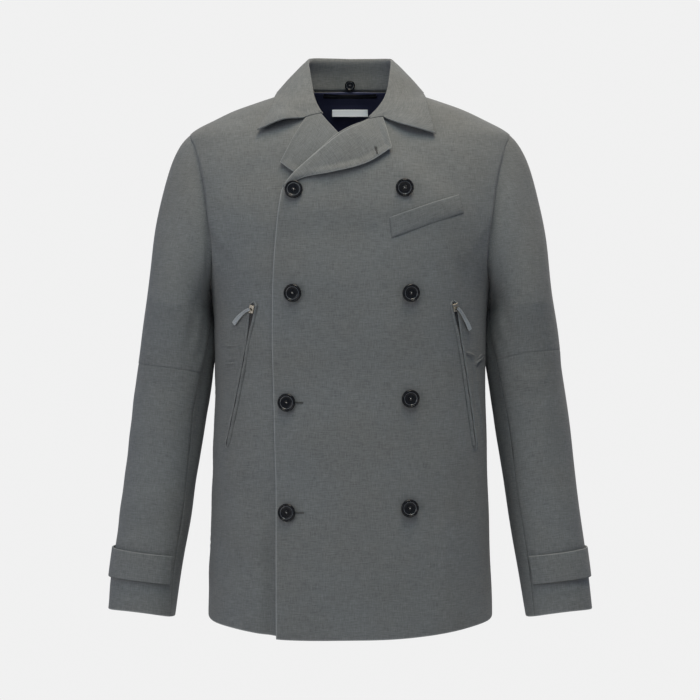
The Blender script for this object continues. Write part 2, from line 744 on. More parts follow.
# %% Declare pieces
LEAST_FILL = 0.31  # the least share of its box that a piece's flat cut can cover
def settle(piece, slot, *nodes, body_name="coat"):
    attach(piece, body_name)
    if nodes:
        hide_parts(*nodes)
    return piece


def grid_area(points):
    along = points[:-1, 1:] - points[:-1, :-1]
    up = points[1:, :-1] - points[:-1, :-1]
    return float(np.linalg.norm(np.cross(along, up), axis=-1).sum())


def declare_cloth(piece, points, slot, node):
    settle(piece, slot, *([node] if node else []))
    width = float(cumulative(points, 1)[:, -1].max())
    length = float(cumulative(points, 0)[-1].max())
    area = min(grid_area(points), width * length)
    area = max(area, LEAST_FILL * width * length)
    triangles = sum(len(p.vertices) - 2 for p in piece.data.polygons)
    print(f"{piece.name}: {width:.3f} x {length:.3f} m, {area:.4f} m2, {triangles} triangles")
    return piece


LINED = (SHELL, LINING)


def sew(
    node, points, normals, uv, borders, rests_on, cut=None,
    ending="_cloth", slot="shell_cloth", thickness=CLOTH, materials=(SHELL,), **look,
):
    """`cut` is its grid before any fold."""
    piece = make_shell(node + ending, points, normals, thickness, borders, uv, materials, **look)
    return declare_cloth(piece, points if cut is None else cut, slot, node)


# %% [markdown]
# ## Fronts and back
# The left front lies on top and runs from its free edge, which turns into the lapel's roll above
# the first button, to the side seam. The grid's rows follow the armhole, so its edge comes out
# clean, and its columns crowd at both sides. The cloth coordinates are measured round the body
# and up it, so the threads hang straight as they do in a coat cut on the grain.

# %% Rows and cloth coordinates of the body
ARM_ANGLES = np.linspace(math.pi, 0, 64)


def panel_rows(side, step, band=None):
    """Heights of the rows, and the turn at which each one ends at the armhole or the side seam."""
    low = HEM + lines(ARMPIT - HEM, step, (True, False))[:-1] * (ARMPIT - HEM)
    if band:
        low = low[(low < band[0]) | (low > band[1])]
        low = np.sort(np.concatenate([low, np.linspace(*band, 40)]))
    arm_turn, arm_height = armhole(ARM_ANGLES, side)
    high = np.linspace(SHOULDER_TIP, FRONT_TOP, 46)[1:]
    heights = np.concatenate([low, arm_height, high])
    ends = np.concatenate([np.ones(len(low)), arm_turn, np.ones(len(high))])
    return heights, ends


def round_body(turns, levels, middle):
    """Distance round the body from the middle of the front or back, and up it."""
    fine = np.linspace(0, 1.05, 90)
    around = np.empty_like(turns)
    for row in range(turns.shape[0]):
        level = float(levels[row].mean())
        arc = cumulative(body(middle + fine, level)[None], 1)[0]
        offset = turns[row] - middle
        around[row] = np.sign(offset) * np.interp(np.abs(offset), fine, arc)
    tall = np.linspace(-0.76, 0.03, 300)
    climb = cumulative(body(0.5 + 0 * tall, tall)[None], 1)[0]
    return np.stack([around, np.interp(levels, tall, climb)], -1)


def front_path(*places):
    """A fold's path on the front, from places across and up."""
    across, height = np.array(places, float).T
    return on_front(across, height, np.zeros(len(across)))[0]


# %% Folds of the fronts
# Each row: how high in mm, how wide in mm, the places it runs through, and "start" or "end" if
# only that end fades.
LEFT_FOLDS = (
    (2.4, 1.7, (0.156, -0.3585), (0.16, -0.3596), (0.1638, -0.3609), (0.1687, -0.3637),
     (0.1694, -0.37), (0.1696, -0.378)),
    (-1.8, 1.6, (0.157, -0.3618), (0.163, -0.3636), (0.1662, -0.3664), (0.1668, -0.374)),
    (2.4, 1.7, (0.1845, -0.364), (0.1803, -0.3669), (0.1736, -0.373), (0.1702, -0.378)),
    (-1.8, 1.6, (0.1815, -0.369), (0.1765, -0.3735), (0.173, -0.3785)),
    (1.5, 1.6, (0.185, -0.359), (0.179, -0.364), (0.174, -0.369)),
    (0.8, 1.3, (0.158, -0.365), (0.1575, -0.369), (0.159, -0.373)),
    (2.6, 2.2, (0.1702, -0.373), (0.1737, -0.3936), (0.176, -0.4227), (0.18, -0.455),
     (0.1835, -0.49)),
    (-2, 2.3, (0.167, -0.376), (0.1695, -0.4), (0.1722, -0.43), (0.175, -0.465)),
    (1.1, 9, (0.13, -0.235), (0.139, -0.262), (0.148, -0.292)),
    (-0.9, 9, (0.144, -0.23), (0.153, -0.262), (0.158, -0.29)),
    (1.6, 16, (0.176, -0.5), (0.17, -0.57), (0.172, -0.65), (0.176, -0.7)),
    (-1.1, 13, (0.12, -0.52), (0.112, -0.6), (0.116, -0.69)),
    (0.7, 12, (0.205, -0.15), (0.18, -0.2), (0.15, -0.23)),
    (-0.4, 10, (0.2, -0.18), (0.172, -0.225), (0.15, -0.262)),
    (0.8, 11, (-0.06, -0.165), (-0.045, -0.205), (-0.05, -0.25)),
    (0.9, 14, (0.03, -0.15), (0.045, -0.21), (0.04, -0.27)),
    (-0.8, 15, (-0.02, -0.42), (-0.03, -0.52), (-0.024, -0.64)),
    (1, 18, (0.02, -0.45), (0.03, -0.56), (0.036, -0.7)),
)
RIGHT_FOLDS = (
    (1.2, 1.3, (-0.176, -0.3498), (-0.163, -0.3502), (-0.1505, -0.3498)),
    (-2, 1.2, (-0.176, -0.3521), (-0.163, -0.3524), (-0.1505, -0.3519)),
    (-1.3, 1.2, (-0.168, -0.3702), (-0.162, -0.3716), (-0.156, -0.3706)),
    (1.3, 1.3, (-0.17, -0.3738), (-0.163, -0.3746), (-0.156, -0.3734)),
    (1.2, 11, (-0.165, -0.5), (-0.158, -0.56), (-0.164, -0.64), (-0.172, -0.7)),
    (-1.1, 10, (-0.142, -0.52), (-0.136, -0.6), (-0.14, -0.69)),
    (0.9, 12, (-0.12, -0.44), (-0.116, -0.52), (-0.12, -0.6)),
    (1.2, 12, (-0.2, -0.16), (-0.176, -0.205), (-0.15, -0.235)),
    (-1.2, 10, (-0.198, -0.19), (-0.172, -0.232), (-0.152, -0.262)),
    (-0.8, 14, (-0.14, -0.11), (-0.128, -0.17), (-0.132, -0.24)),
    (-5, 12, (-0.1085, -0.79), (-0.107, -0.65), (-0.104, -0.5), "end"),
)
CREASE_BAND = (-0.382, -0.346)  # narrow creases beside the pockets, which need closer rows


def with_folds(points, normals, folds, to_path):
    push = np.zeros(points.shape[:2])
    for height, width, *places in folds:
        ends = places.pop() if isinstance(places[-1], str) else "both"
        push += fold(points, to_path(*places), height / 1000, width / 1000, ends)
    return pushed(points, normals, push)


# %% The two fronts
FRONT_STEP = 0.0036
FRONT_FACING, BACK_FACING, CUFF_FACING = 0.07, 0.035, 0.04  # shell cloth turned in at the edges
PUCKER = 0.00022
SIDE_STEPS = 0.0012  # between the columns that cross the creases
OPENING_CURL = 0.0055  # the free edge stands off near the hem
CORNER_DROP = 0.0028  # and hangs a little lower than the front beneath it


def armhole_sink(height, distance):
    """The body's edge rolls in towards the sleeve, least at the top of the shoulder."""
    depth = 0.0004 + 0.003 * fade(height, -0.078, -0.135)
    depth = depth * fade(height, -0.305, -0.262)
    return depth * np.clip(1 - distance / 0.0075, 0, 1) ** 2


def front_grid(edge, side):
    heights, ends = panel_rows("front", FRONT_STEP, CREASE_BAND)
    starts = turn_at(side * read(edge, "across", heights), heights)[:, None]
    share = lines(0.36, FRONT_STEP)
    share = share[(share < 0.8) | (share > 0.97)]
    share = np.sort(np.concatenate([share, np.arange(0.805, 0.968, SIDE_STEPS / 0.36)]))
    turns = starts + (1 - starts) * share - (1 - ends)[:, None] * share**3
    levels = hang(turns, np.repeat(heights[:, None], len(share), 1))
    if side < 0:
        turns, levels = -turns[:, ::-1], levels[:, ::-1]
    uv = round_body(turns, levels, 0)
    return body(turns, levels), body_normal(turns, levels), uv


def make_front(name, edge, side, folds, seed):
    points, normals, uv = front_grid(edge, side)
    across, height = points[..., 0], points[..., 2]
    flat_points = points
    if side > 0:
        lift = top_front_lift(across, height)
        from_edge = border_distance(points, "left")
        near_edge = bell(from_edge, 0.022)
        lift = lift + OPENING_CURL * fade(height, -0.54, -0.73) * near_edge
        points = pushed(points, normals, lift)
        corner = fade(height, -0.6, -0.735) * bell(from_edge, 0.06)
        points[..., 2] -= CORNER_DROP * corner
    quiet = fade(height, 0.0, -0.05)
    points = pushed(points, normals, ripple(uv, 0.0006, seed) * quiet)
    points = with_folds(points, normals, folds, front_path)
    side_border = "right" if side > 0 else "left"
    from_side = border_distance(flat_points, side_border)
    below_arm = fade(height, -0.262, -0.3)
    push = pucker(from_side, uv[..., 1], PUCKER) * below_arm - armhole_sink(height, from_side)
    points = pushed(points, normals, push)
    borders = {"bottom": "free", "top": "seam", side_border: "seam"}
    borders["left" if side > 0 else "right"] = "free"
    look = {"materials": LINED, "facing": FRONT_FACING}
    return sew(name, points, normals, uv, borders, "back", flat_points, **look)


make_front("front_left", TOP_EDGE, 1, LEFT_FOLDS, 4)
make_front("front_right", UNDER_EDGE, -1, RIGHT_FOLDS, 9)

# %% [markdown]
# The back is not in the photograph. It is one panel like the fronts, with the long soft folds
# that a coat of this cloth shows between the shoulder blades and from the waist to the hem.

# %% The back
BACK_STEP = 0.0042
# Each row as on the fronts, with places as turns round the body and heights.
BACK_FOLDS = (
    (1.3, 14, (1.22, -0.15), (1.32, -0.23), (1.4, -0.3)),
    (1.2, 13, (2.8, -0.14), (2.7, -0.215), (2.62, -0.29)),
    (-1.1, 11, (1.34, -0.175), (1.43, -0.23), (1.5, -0.28)),
    (-1, 12, (2.68, -0.185), (2.58, -0.245), (2.5, -0.3)),
    (1.4, 17, (1.72, -0.42), (1.7, -0.54), (1.67, -0.725), "start"),
    (1.2, 19, (2.2, -0.39), (2.24, -0.56), (2.28, -0.725), "start"),
    (-1.3, 18, (1.92, -0.45), (1.95, -0.6), (1.97, -0.725), "start"),
    (-1, 15, (1.46, -0.47), (1.45, -0.59), (1.42, -0.72), "start"),
    (-0.9, 16, (2.5, -0.43), (2.53, -0.59), (2.58, -0.72), "start"),
    (1, 12, (1.3, -0.33), (1.55, -0.352), (1.8, -0.345)),
    (-0.9, 9, (1.35, -0.35), (1.56, -0.372), (1.74, -0.368)),
    (1, 11, (2.25, -0.35), (2.48, -0.362), (2.7, -0.338)),
    (0.9, 16, (1.75, -0.045), (2, -0.058), (2.28, -0.042)),
)


def back_path(*places):
    turn, height = np.array(places, float).T
    return body(turn, height)


def back_grid(step):
    heights, ends = panel_rows("back", step)
    share = lines(0.58, step)
    bite = (ends - 1)[:, None]
    turns = 1 + 2 * share + bite * ((1 - share) ** 3 - share**3)
    levels = hang(turns, np.repeat(heights[:, None], len(share), 1))
    return body(turns, levels), body_normal(turns, levels), round_body(turns, levels, 2), levels


def make_back():
    points, normals, uv, levels = back_grid(BACK_STEP)
    smooth = points
    quiet = fade(levels, 0.0, -0.06)
    points = pushed(points, normals, ripple(uv, 0.0007, 21) * quiet)
    points = with_folds(points, normals, BACK_FOLDS, back_path)
    for border in ("left", "right"):
        distance = border_distance(smooth, border)
        gather = pucker(distance, uv[..., 1], PUCKER) * fade(levels, -0.262, -0.3)
        points = pushed(points, normals, gather - armhole_sink(levels, distance))
    borders = {"bottom": "free", "top": "seam", "left": "seam", "right": "seam"}
    look = {"materials": LINED, "facing": BACK_FACING}
    return sew("back", points, normals, uv, borders, "collar", smooth, **look)


make_back()

# %% [markdown]
# ## Sleeves
# A sleeve is a ring that follows the arm down, wider and squarer than the arm itself. Two long
# seams part the outer cloth from the strip next to the body, and a cross seam at the elbow parts
# the outer cloth again. All three sheets read one surface, so they meet exactly at the seams.

# %% Sleeve sizes
SLEEVE = table(
    "height out half_width half_depth forward",
    (-0.7225, 0.2914, 0.0462, 0.048, 0.016), (-0.67, 0.2845, 0.0475, 0.05, 0.011),
    (-0.6076, 0.2753, 0.049, 0.053, 0.005), (-0.52, 0.2632, 0.0506, 0.057, -0.001),
    (-0.45, 0.2548, 0.0517, 0.061, -0.004), (-0.3766, 0.2445, 0.0522, 0.066, -0.004),
    (-0.34, 0.2425, 0.05, 0.07, -0.003), (-0.293, 0.2405, 0.045, 0.077, -0.002),
)
SLEEVE_SEAMS = {
    1: table(
        "height front back",
        (-0.7225, 139, 140), (-0.6076, 133, 135), (-0.52, 133, 133), (-0.44, 134, 131),
        (-0.3766, 139, 130), (-0.293, 171, 140), (-0.0553, 150, 150),
    ),
    -1: table(
        "height front back",
        (-0.7225, 153, 140), (-0.628, 141, 136), (-0.562, 141, 134), (-0.486, 137, 132),
        (-0.419, 134, 131), (-0.369, 142, 130), (-0.293, 175, 140), (-0.0553, 150, 150),
    ),
}
SEAM_COLUMN = 150
BICEPS, CUFF = -0.293, -0.7155
ELBOW_SEAM = {1: -0.366, -1: -0.382}
# How much the elbow seam arches up, and the share of it at each column
ELBOW_BOW = {1: 0.007, -1: 0.0018}
ELBOW_ARC = ((0, 60, 100, 150, 180), (0.55, 0.85, 1.0, 0.1, 0.0))
SLEEVE_TILT = math.radians(7)
CUFF_DROP = 0.0042  # a pressed cuff is straight across, so its sides hang lower than its middle


# %% Sleeve surface
def sleeve_ring(angle, height):
    power = 2 / 2.3
    wide = read(SLEEVE, "half_width", height) * signed_power(np.cos(angle), power)
    deep = read(SLEEVE, "half_depth", height) * signed_power(np.sin(angle), power)
    across = read(SLEEVE, "out", height) + wide * math.cos(SLEEVE_TILT)
    level = height + wide * math.sin(SLEEVE_TILT)
    return np.stack([across, -deep - read(SLEEVE, "forward", height), level], -1)


def sleeve_head(angle, share):
    """Between the armhole seam, share 0, and the ring at the armpit, share 1."""
    in_front = np.sin(angle) > -1e-9
    turn_front, level = armhole(angle, "front")
    turn_back, _ = armhole(angle, "back")
    start = body(np.where(in_front, turn_front, turn_back), level) + np.array([0.0009, 0, 0])
    end = sleeve_ring(angle, BICEPS + 0 * angle)
    reach = np.linalg.norm(end - start, axis=-1, keepdims=True)
    upper = np.maximum(0.0, np.cos(angle))
    zero = 0 * angle
    leave = unit(np.stack([0.12 + 0.6 * upper, zero, zero - 0.8], -1)) * reach
    arrive = unit(np.array([0.14, 0.0, -1.0])) * reach
    t = share[..., None]
    bend = leave * t * (1 - t) ** 2 - arrive * t * t * (1 - t)
    return start * (1 - t) ** 2 * (1 + 2 * t) + end * t * t * (3 - 2 * t) + bend


def sleeve_at(column, share, height, side):
    """`column` in degrees on the armhole; the seams keep their own columns all the way down."""
    column, share, height = np.broadcast_arrays(column, share, height)
    seams = SLEEVE_SEAMS[side]
    front, rear = read(seams, "front", height), read(seams, "back", height)
    seam = np.where(column >= 0, front, rear)
    size = np.abs(column)
    beyond = 180 - (180 - size) * (180 - seam) / (180 - SEAM_COLUMN)
    turned = np.where(size <= SEAM_COLUMN, size * seam / SEAM_COLUMN, beyond)
    angle = np.radians(size + (turned - size) * np.minimum(1, share)) * np.where(column >= 0, 1, -1)
    low = sleeve_ring(angle, height)
    flat_cuff = CUFF_DROP * fade(height, -0.62, CUFF) * np.cos(angle) ** 2
    low[..., 2] -= flat_cuff * fade(height, -0.6, CUFF)
    near_elbow = bell(height - ELBOW_SEAM[side], 0.045)
    low[..., 2] += ELBOW_BOW[side] * np.interp(size, *ELBOW_ARC) * near_elbow
    return np.where((share < 1)[..., None], sleeve_head(angle, share), low)


def sleeve_normal(column, share, height, side):
    before, after = (sleeve_at(column + step, share, height, side) for step in (-0.5, 0.5))
    in_head = share < 1
    low_share = np.where(in_head, np.minimum(share + 0.02, 0.999), 1)
    high_share = np.where(in_head, np.maximum(share - 0.02, 0.0), 1)
    lower = sleeve_at(column, low_share, np.where(in_head, height, height - 0.02), side)
    upper = sleeve_at(column, high_share, height, side)
    return unit(np.cross(before - after, upper - lower))


# %% Folds of the sleeves
# Each row as on the fronts, with places as column in degrees and height. Heights above -0.293
# are on the sleeve head.
SLEEVE_FOLDS = {
    1: (
        (1.5, 8, (118, -0.24), (124, -0.3), (126, -0.35)),
        (-1.4, 7, (104, -0.225), (110, -0.29), (113, -0.345)),
        (1, 7, (134, -0.262), (138, -0.32), (140, -0.372)),
        (1, 9, (60, -0.392), (90, -0.402), (125, -0.392)),
        (-0.9, 8, (75, -0.418), (100, -0.424), (128, -0.412)),
        (1.2, 12, (30, -0.15), (36, -0.23), (34, -0.31)),
        (-0.8, 12, (62, -0.43), (70, -0.51), (66, -0.6)),
        (0.8, 13, (95, -0.44), (98, -0.52), (94, -0.61)),
        (1.4, 10, (-60, -0.355), (-95, -0.372), (-130, -0.36)),
        (-1.2, 9, (-70, -0.385), (-100, -0.396), (-132, -0.388)),
        (1.2, 13, (-70, -0.44), (-62, -0.52), (-68, -0.61)),
        (1.4, 12, (-60, -0.15), (-72, -0.23), (-80, -0.31)),
        (0.9, 8, (40, -0.69), (75, -0.684), (110, -0.69)),
    ),
    -1: (
        (1.6, 8, (116, -0.235), (122, -0.3), (127, -0.36)),
        (-1.5, 7, (102, -0.24), (108, -0.3), (114, -0.362)),
        (1.1, 6, (136, -0.27), (140, -0.33), (141, -0.39)),
        (-0.9, 9, (64, -0.402), (92, -0.412), (124, -0.404)),
        (0.9, 9, (80, -0.43), (104, -0.44), (129, -0.428)),
        (1.1, 13, (26, -0.16), (31, -0.24), (30, -0.33)),
        (0.8, 14, (58, -0.44), (64, -0.52), (70, -0.61)),
        (-0.8, 12, (92, -0.46), (88, -0.54), (92, -0.62)),
        (1.3, 10, (-64, -0.372), (-96, -0.388), (-128, -0.378)),
        (-1.1, 9, (-72, -0.402), (-104, -0.414), (-132, -0.402)),
        (1.1, 14, (-64, -0.45), (-70, -0.53), (-62, -0.61)),
        (1.5, 12, (-56, -0.16), (-70, -0.235), (-82, -0.3)),
    ),
}


def sleeve_place(column, height, side):
    """Share and ring height for a place given by its own height, on the head too."""
    head = fade(height, SHOULDER_TIP, BICEPS) if height > BICEPS else 1.0
    return sleeve_at(float(column), float(head), min(height, BICEPS), side)


# %% Make the sleeves
SLEEVE_STEP = 0.0036
HEAD_SHARES = np.concatenate([[0, 0.0015, 0.004, 0.008, 0.014], np.linspace(0.022, 1, 62)])
MIRROR = np.array([-1.0, 1.0, 1.0])


def mirrored(points, normals, uv):
    """The other side's grid, turned round so that its faces still look outwards."""
    return points[:, ::-1] * MIRROR, normals[:, ::-1] * MIRROR, uv[:, ::-1]
# How far in mm the inside of the sleeve leans on the body, at heights going down
LEAN_HEIGHTS = (
    -0.53, -0.49, -0.47, -0.45, -0.423, -0.404, -0.393, -0.383, -0.3745, -0.36, -0.335
)
LEAN_ON_BODY = {
    1: (0.0, 0.6, 1.1, 1.3, 1.0, 0.6, 0.7, 1.1, 1.9, 4.2, 7.0),
    -1: (0.0, 0.0, 0.7, 1.4, 1.6, 1.1, 0.9, 0.9, 1.3, 2.7, 4.5),
}


def armhole_place(column, spread, depth):
    """On the body at the armhole, or `spread` times as far from its middle, this deep in it."""
    angle = np.radians(column)
    turns, level = armhole(angle, "front")
    back_turns, _ = armhole(angle, "back")
    turn = np.where(column >= 0, turns, back_turns)
    turn = 1 + (turn - 1) * spread
    middle = (SHOULDER_TIP + ARMPIT) / 2
    level = middle + (level - middle) * spread
    return body(turn, level) - body_normal(turn, level) * depth[..., None]


def sleeve_push(column, share, height, from_armhole, side):
    """Below the body's edge the sleeve dips, then fills out, and its inside rests on the body."""
    size = np.abs(column)
    dip = from_armhole / 0.011
    hollow = -0.0046 * fade(size, 25, 75) * (1 - 0.9 * fade(size, 98, 140)) * dip * np.exp(1 - dip)
    lean = np.interp(height, LEAN_HEIGHTS, LEAN_ON_BODY[side]) / 1000
    lean = lean * bell(size - 180, 30) * fade(share, -0.2, 0.5)
    turn_in = -0.003 * bell(size - 157, 9) * (column > 0)
    turn_in = turn_in * fade(height, -0.6, -0.42) * fade(height, -0.3, -0.34)
    flatter = -0.0014 * fade(share, 0.05, 0.3) * fade(height, -0.55, -0.42)
    flatter -= 0.0021 * bell(share - 0.42, 0.2)
    return hollow + lean + turn_in + flatter * bell(size, 55)


def lower_rows(top, bottom, fine):
    heights = top + lines(top - bottom, SLEEVE_STEP, fine) * (bottom - top)
    return np.ones(len(heights)), heights


def sleeve_columns(first, last, span):
    return first + lines(span, SLEEVE_STEP) * (last - first)


def make_sleeve_sheet(name, side, columns, shares, heights, borders, seed):
    column, share = np.meshgrid(columns[::-1], shares[::-1])
    height = np.repeat(heights[::-1][:, None], len(columns), 1)
    points = sleeve_at(column, share, height, side)
    normals = sleeve_normal(column, share, height, side)
    smooth = points
    middle = cumulative(points, 1)
    centre = middle[:, len(columns) // 2][:, None]
    uv = np.stack([middle - centre, cumulative(points, 0)], -1)
    to_path = lambda *places: np.array([sleeve_place(*place, side) for place in places])
    headed = shares[0] == 0
    from_top = border_distance(points, "top")
    push = ripple(uv, 0.0006, seed) * np.minimum(1, from_top / 0.02)
    for border, kind in borders.items():
        if kind in ("seam", "faint"):
            along = uv[..., 0] if border in ("top", "bottom") else uv[..., 1]
            push = push + pucker(border_distance(points, border), along, PUCKER)
    push = push + sleeve_push(column, share, height, from_top + (0 if headed else 1.0), side)
    points = with_folds(points + normals * push[..., None], normals, SLEEVE_FOLDS[side], to_path)
    if headed:  # the top lies below the body's edge, and its seam allowance is turned in under it
        top = column[-1:]
        level = armhole(np.radians(top), "front")[1]
        below = armhole_sink(level, 0 * level) + 0.0004 + 0.0016 * fade(np.abs(top), 25, 75)
        drop = armhole_place(top, 1.0, below) - armhole_place(top, 1.0, 0 * below)
        points = points + drop * bell(from_top, 0.006)[..., None]
        points = np.concatenate([points, armhole_place(top, 1.055, 0 * below + 0.0046)])
        normals = np.concatenate([normals, normals[-1:]])
        uv = np.concatenate([uv, uv[-1:] + np.array([0, 0.004])])
        borders = {**borders, "top": "none"}
    if side < 0:
        points, normals, uv = mirrored(points, normals, uv)
    look = {"materials": LINED, "facing": CUFF_FACING}
    return sew(name, points, normals, uv, borders, "back", smooth, **look)


def make_sleeve(side, word):
    outer = sleeve_columns(-SEAM_COLUMN, SEAM_COLUMN, 0.3)
    inner = SEAM_COLUMN + lines(0.085, SLEEVE_STEP) * (360 - 2 * SEAM_COLUMN)
    inner = np.where(inner > 180, inner - 360, inner)
    elbow = ELBOW_SEAM[side]
    head = (HEAD_SHARES[:-1], np.full(len(HEAD_SHARES) - 1, BICEPS))
    above, below = lower_rows(BICEPS, elbow, (False, True)), lower_rows(elbow, CUFF, (True, True))
    whole = lower_rows(BICEPS, CUFF, (False, True))
    join = lambda a, b: (np.concatenate([a[0], b[0]]), np.concatenate([a[1], b[1]]))
    seams = {"left": "seam", "right": "seam", "top": "seam"}
    sheets = (
        ("sleeve_upper_", outer, join(head, above), {**seams, "bottom": "faint"}),
        ("sleeve_forearm_", outer, below, {**seams, "top": "faint", "bottom": "free"}),
        ("sleeve_under_", inner, join(head, whole), {**seams, "bottom": "free"}),
    )
    for number, (title, columns, rows, borders) in enumerate(sheets):
        make_sleeve_sheet(title + word, side, columns, *rows, borders, 30 + 5 * number + side)


make_sleeve(1, "left")
make_sleeve(-1, "right")

# %% [markdown]
# ## Cuff tabs
# A tab is a flat double layer that lies round the outside of the sleeve, from one long seam to
# the other. It stands a little off the sleeve, so its lower edge throws a shadow.


# %% Make the cuff tabs
DOUBLE_CLOTH = 0.0026
TAB_TOP, TAB_BOTTOM = -0.635, -0.674
# Where the front end lies, as a column in degrees, and how much further in its top corner is.
TAB_ENDS = {1: (143, 2.0), -1: (141, -1.0)}


def make_cuff_tab(side, word):
    front_end, top_slant = TAB_ENDS[side]
    columns = -SEAM_COLUMN + 1.5 + lines(0.26, SLEEVE_STEP) * (front_end + SEAM_COLUMN - 1.5)
    _, heights = lower_rows(TAB_TOP, TAB_BOTTOM, (True, True))
    column, height = np.meshgrid(columns[::-1], heights[::-1])
    column = column + top_slant * fade(column, 60, front_end) * (height + 0.674) / 0.039
    share = np.ones_like(column)
    points = sleeve_at(column, share, height, side)
    normals = sleeve_normal(column, share, height, side)
    ends = np.minimum(border_distance(points, "left"), border_distance(points, "right"))
    lift = 0.0031 + 0.0011 * fade(ends, 0.0, 0.02)
    points = pushed(points, normals, lift)
    uv = cloth_axes(points) + 0.31
    points = points + normals * ripple(uv, 0.0003, 50 + side)[..., None]
    if side < 0:
        points, normals, uv = mirrored(points, normals, uv)
    borders = {"bottom": "pressed", "top": "free", "left": "pressed", "right": "pressed"}
    look = {"thickness": DOUBLE_CLOTH, "glow": 0.3}
    rests_on = "sleeve_forearm_" + word
    return sew("cuff_tab_" + word, points, normals, uv, borders, rests_on, **look)


make_cuff_tab(1, "left")
make_cuff_tab(-1, "right")

# %% [markdown]
# ## Lapels
# A lapel is the front's own edge, rolled over and laid back on the chest. Its section starts
# inside the front's edge, goes round a soft roll and out over the chest with a slight belly, and
# ends in a turned edge that stands just clear of the cloth below.

# %% Lapel outlines
# From the break up: the roll line and the free edge. `corner` is the step where the tip lies.
LAPELS = {
    "lapel_left": table(
        "step roll_across roll_height edge_across edge_height",
        (0, -0.0905, -0.1375, -0.089, -0.1385), (1, -0.0732, -0.1169, -0.06, -0.1262),
        (2, -0.0405, -0.088, -0.0229, -0.12), (3, -0.0142, -0.0672, 0.0216, -0.1082),
        (4, 0.0054, -0.0562, 0.056, -0.0868), (5, 0.0165, -0.049, 0.0503, -0.0612),
        (6, 0.0256, -0.043, 0.045, -0.0395),
    ),
    "lapel_right": table(
        "step roll_across roll_height edge_across edge_height",
        (0, 0.079, -0.144, 0.075, -0.1475), (1, 0.05, -0.117, -0.01, -0.14),
        (2, 0.013, -0.0856, -0.069, -0.12), (3, -0.0142, -0.063, -0.094, -0.1031),
        (4, -0.0326, -0.0422, -0.0772, -0.07), (5, -0.0388, -0.034, -0.0606, -0.04),
    ),
}
TIP = {"lapel_left": 4, "lapel_right": 3}


def lapel_ends(rows, tip, steps):
    """The outline is smooth up to the tip, and straight from there to the gorge."""
    lower = {key: values[: tip + 1] for key, values in rows.items()}
    ends = {}
    for key in rows:
        smooth = read(lower, key, np.minimum(steps, tip)) if key != "step" else steps
        straight = np.interp(steps, rows["step"], rows[key])
        ends[key] = np.where(steps <= tip, smooth, straight)
    return ends


# %% Make the lapels
ROLL_RADIUS = 0.0021
LAPEL_THICKNESS = 0.0015


def make_lapel(name, side, lift_under, stand_off, seed):
    """`stand_off` is how far the outer edge springs up from the chest."""
    rows, tip = LAPELS[name], TIP[name]
    below_tip = lines(0.13, 0.0018) * tip
    above_tip = tip + lines(0.05, 0.0018) * (rows["step"][-1] - tip)
    ends = lapel_ends(rows, tip, np.concatenate([below_tip[:-1], above_tip]))
    roll = np.stack([ends["roll_across"], ends["roll_height"]], -1)[:, None]
    edge = np.stack([ends["edge_across"], ends["edge_height"]], -1)[:, None]
    width = np.linalg.norm(edge - roll, axis=-1)
    size = np.clip(width / 0.014, 0.12, 1)
    around = np.linspace(-1.35, math.pi / 2, 10)
    radius = ROLL_RADIUS * size
    roll_out = radius - radius * np.cos(around)
    roll_up = 0.0015 * size + radius * np.sin(around)
    flat = lines(0.07, 0.0018, (False, True))[1:]
    out = radius + (width - radius) * flat
    belly = np.sin(np.pi * np.minimum(1, flat)) ** 0.8
    top = (0.0015 + ROLL_RADIUS) * size
    spring = stand_off * fade(width, 0.008, 0.04) * fade(width - out, 0.0125, 0.0015)
    up = top + (0.0026 * size - top) * fade(flat, 0, 1) + 0.0014 * size**2 * belly + spring
    distance = np.concatenate([roll_out, out], 1)
    height = np.concatenate([roll_up + 0 * width, up], 1)
    run = (edge - roll) / np.maximum(width, 1e-6)[..., None]
    place = roll + run * distance[..., None]
    if side < 0:
        place, height, distance = place[:, ::-1], height[:, ::-1], distance[:, ::-1]
    across, level = place[..., 0], place[..., 1]
    lift = height + lift_under(across, level)
    base, facing = on_front(across, level, 0 * across)
    points = base + facing * lift[..., None]
    along = np.gradient(points, axis=1)
    upward = np.gradient(points, axis=0)
    normals = unit(np.cross(along, upward))
    length = cumulative(points, 0)
    uv = np.stack([distance * 1.0 + 0.2, length], -1)
    ripples = ripple(uv, 0.00022, seed) * fade(distance, 0.004, 0.02)
    points = pushed(points, normals, ripples)
    outside = "right" if side > 0 else "left"
    borders = {"bottom": "free", "top": "seam", outside: "free"}
    look = {"thickness": LAPEL_THICKNESS, "glow": 0.85}
    rests_on = "front_left" if side > 0 else "front_right"
    shell = sew(name, points, normals, uv, borders, rests_on, **look)
    if side > 0:  # a thin light line along the roll
        layer = shell.data.attributes["edge"]
        values = np.empty(len(shell.data.vertices), np.float32)
        layer.data.foreach_get("value", values)
        line = 0.75 * bell(distance - 0.0004, 0.0009) * fade(length, 0.0, 0.012)
        values = np.maximum(values, np.tile(line.reshape(-1), 2)).astype(np.float32)
        layer.data.foreach_set("value", values)
    return points, normals


LAPEL_GRIDS = {
    1: make_lapel("lapel_left", 1, top_front_lift, 0.0040, 61),
    -1: make_lapel("lapel_right", -1, lambda across, level: 0 * across, 0.0018, 62),
}

# %% [markdown]
# ## Collar
# The collar is one turned strip: it stands up from the neck seam, rolls over at the top, and
# falls back over the shoulders to its points. Its section is known at eight places round each
# half, so a smooth curve is drawn through those sections, both round the neck and over the roll.

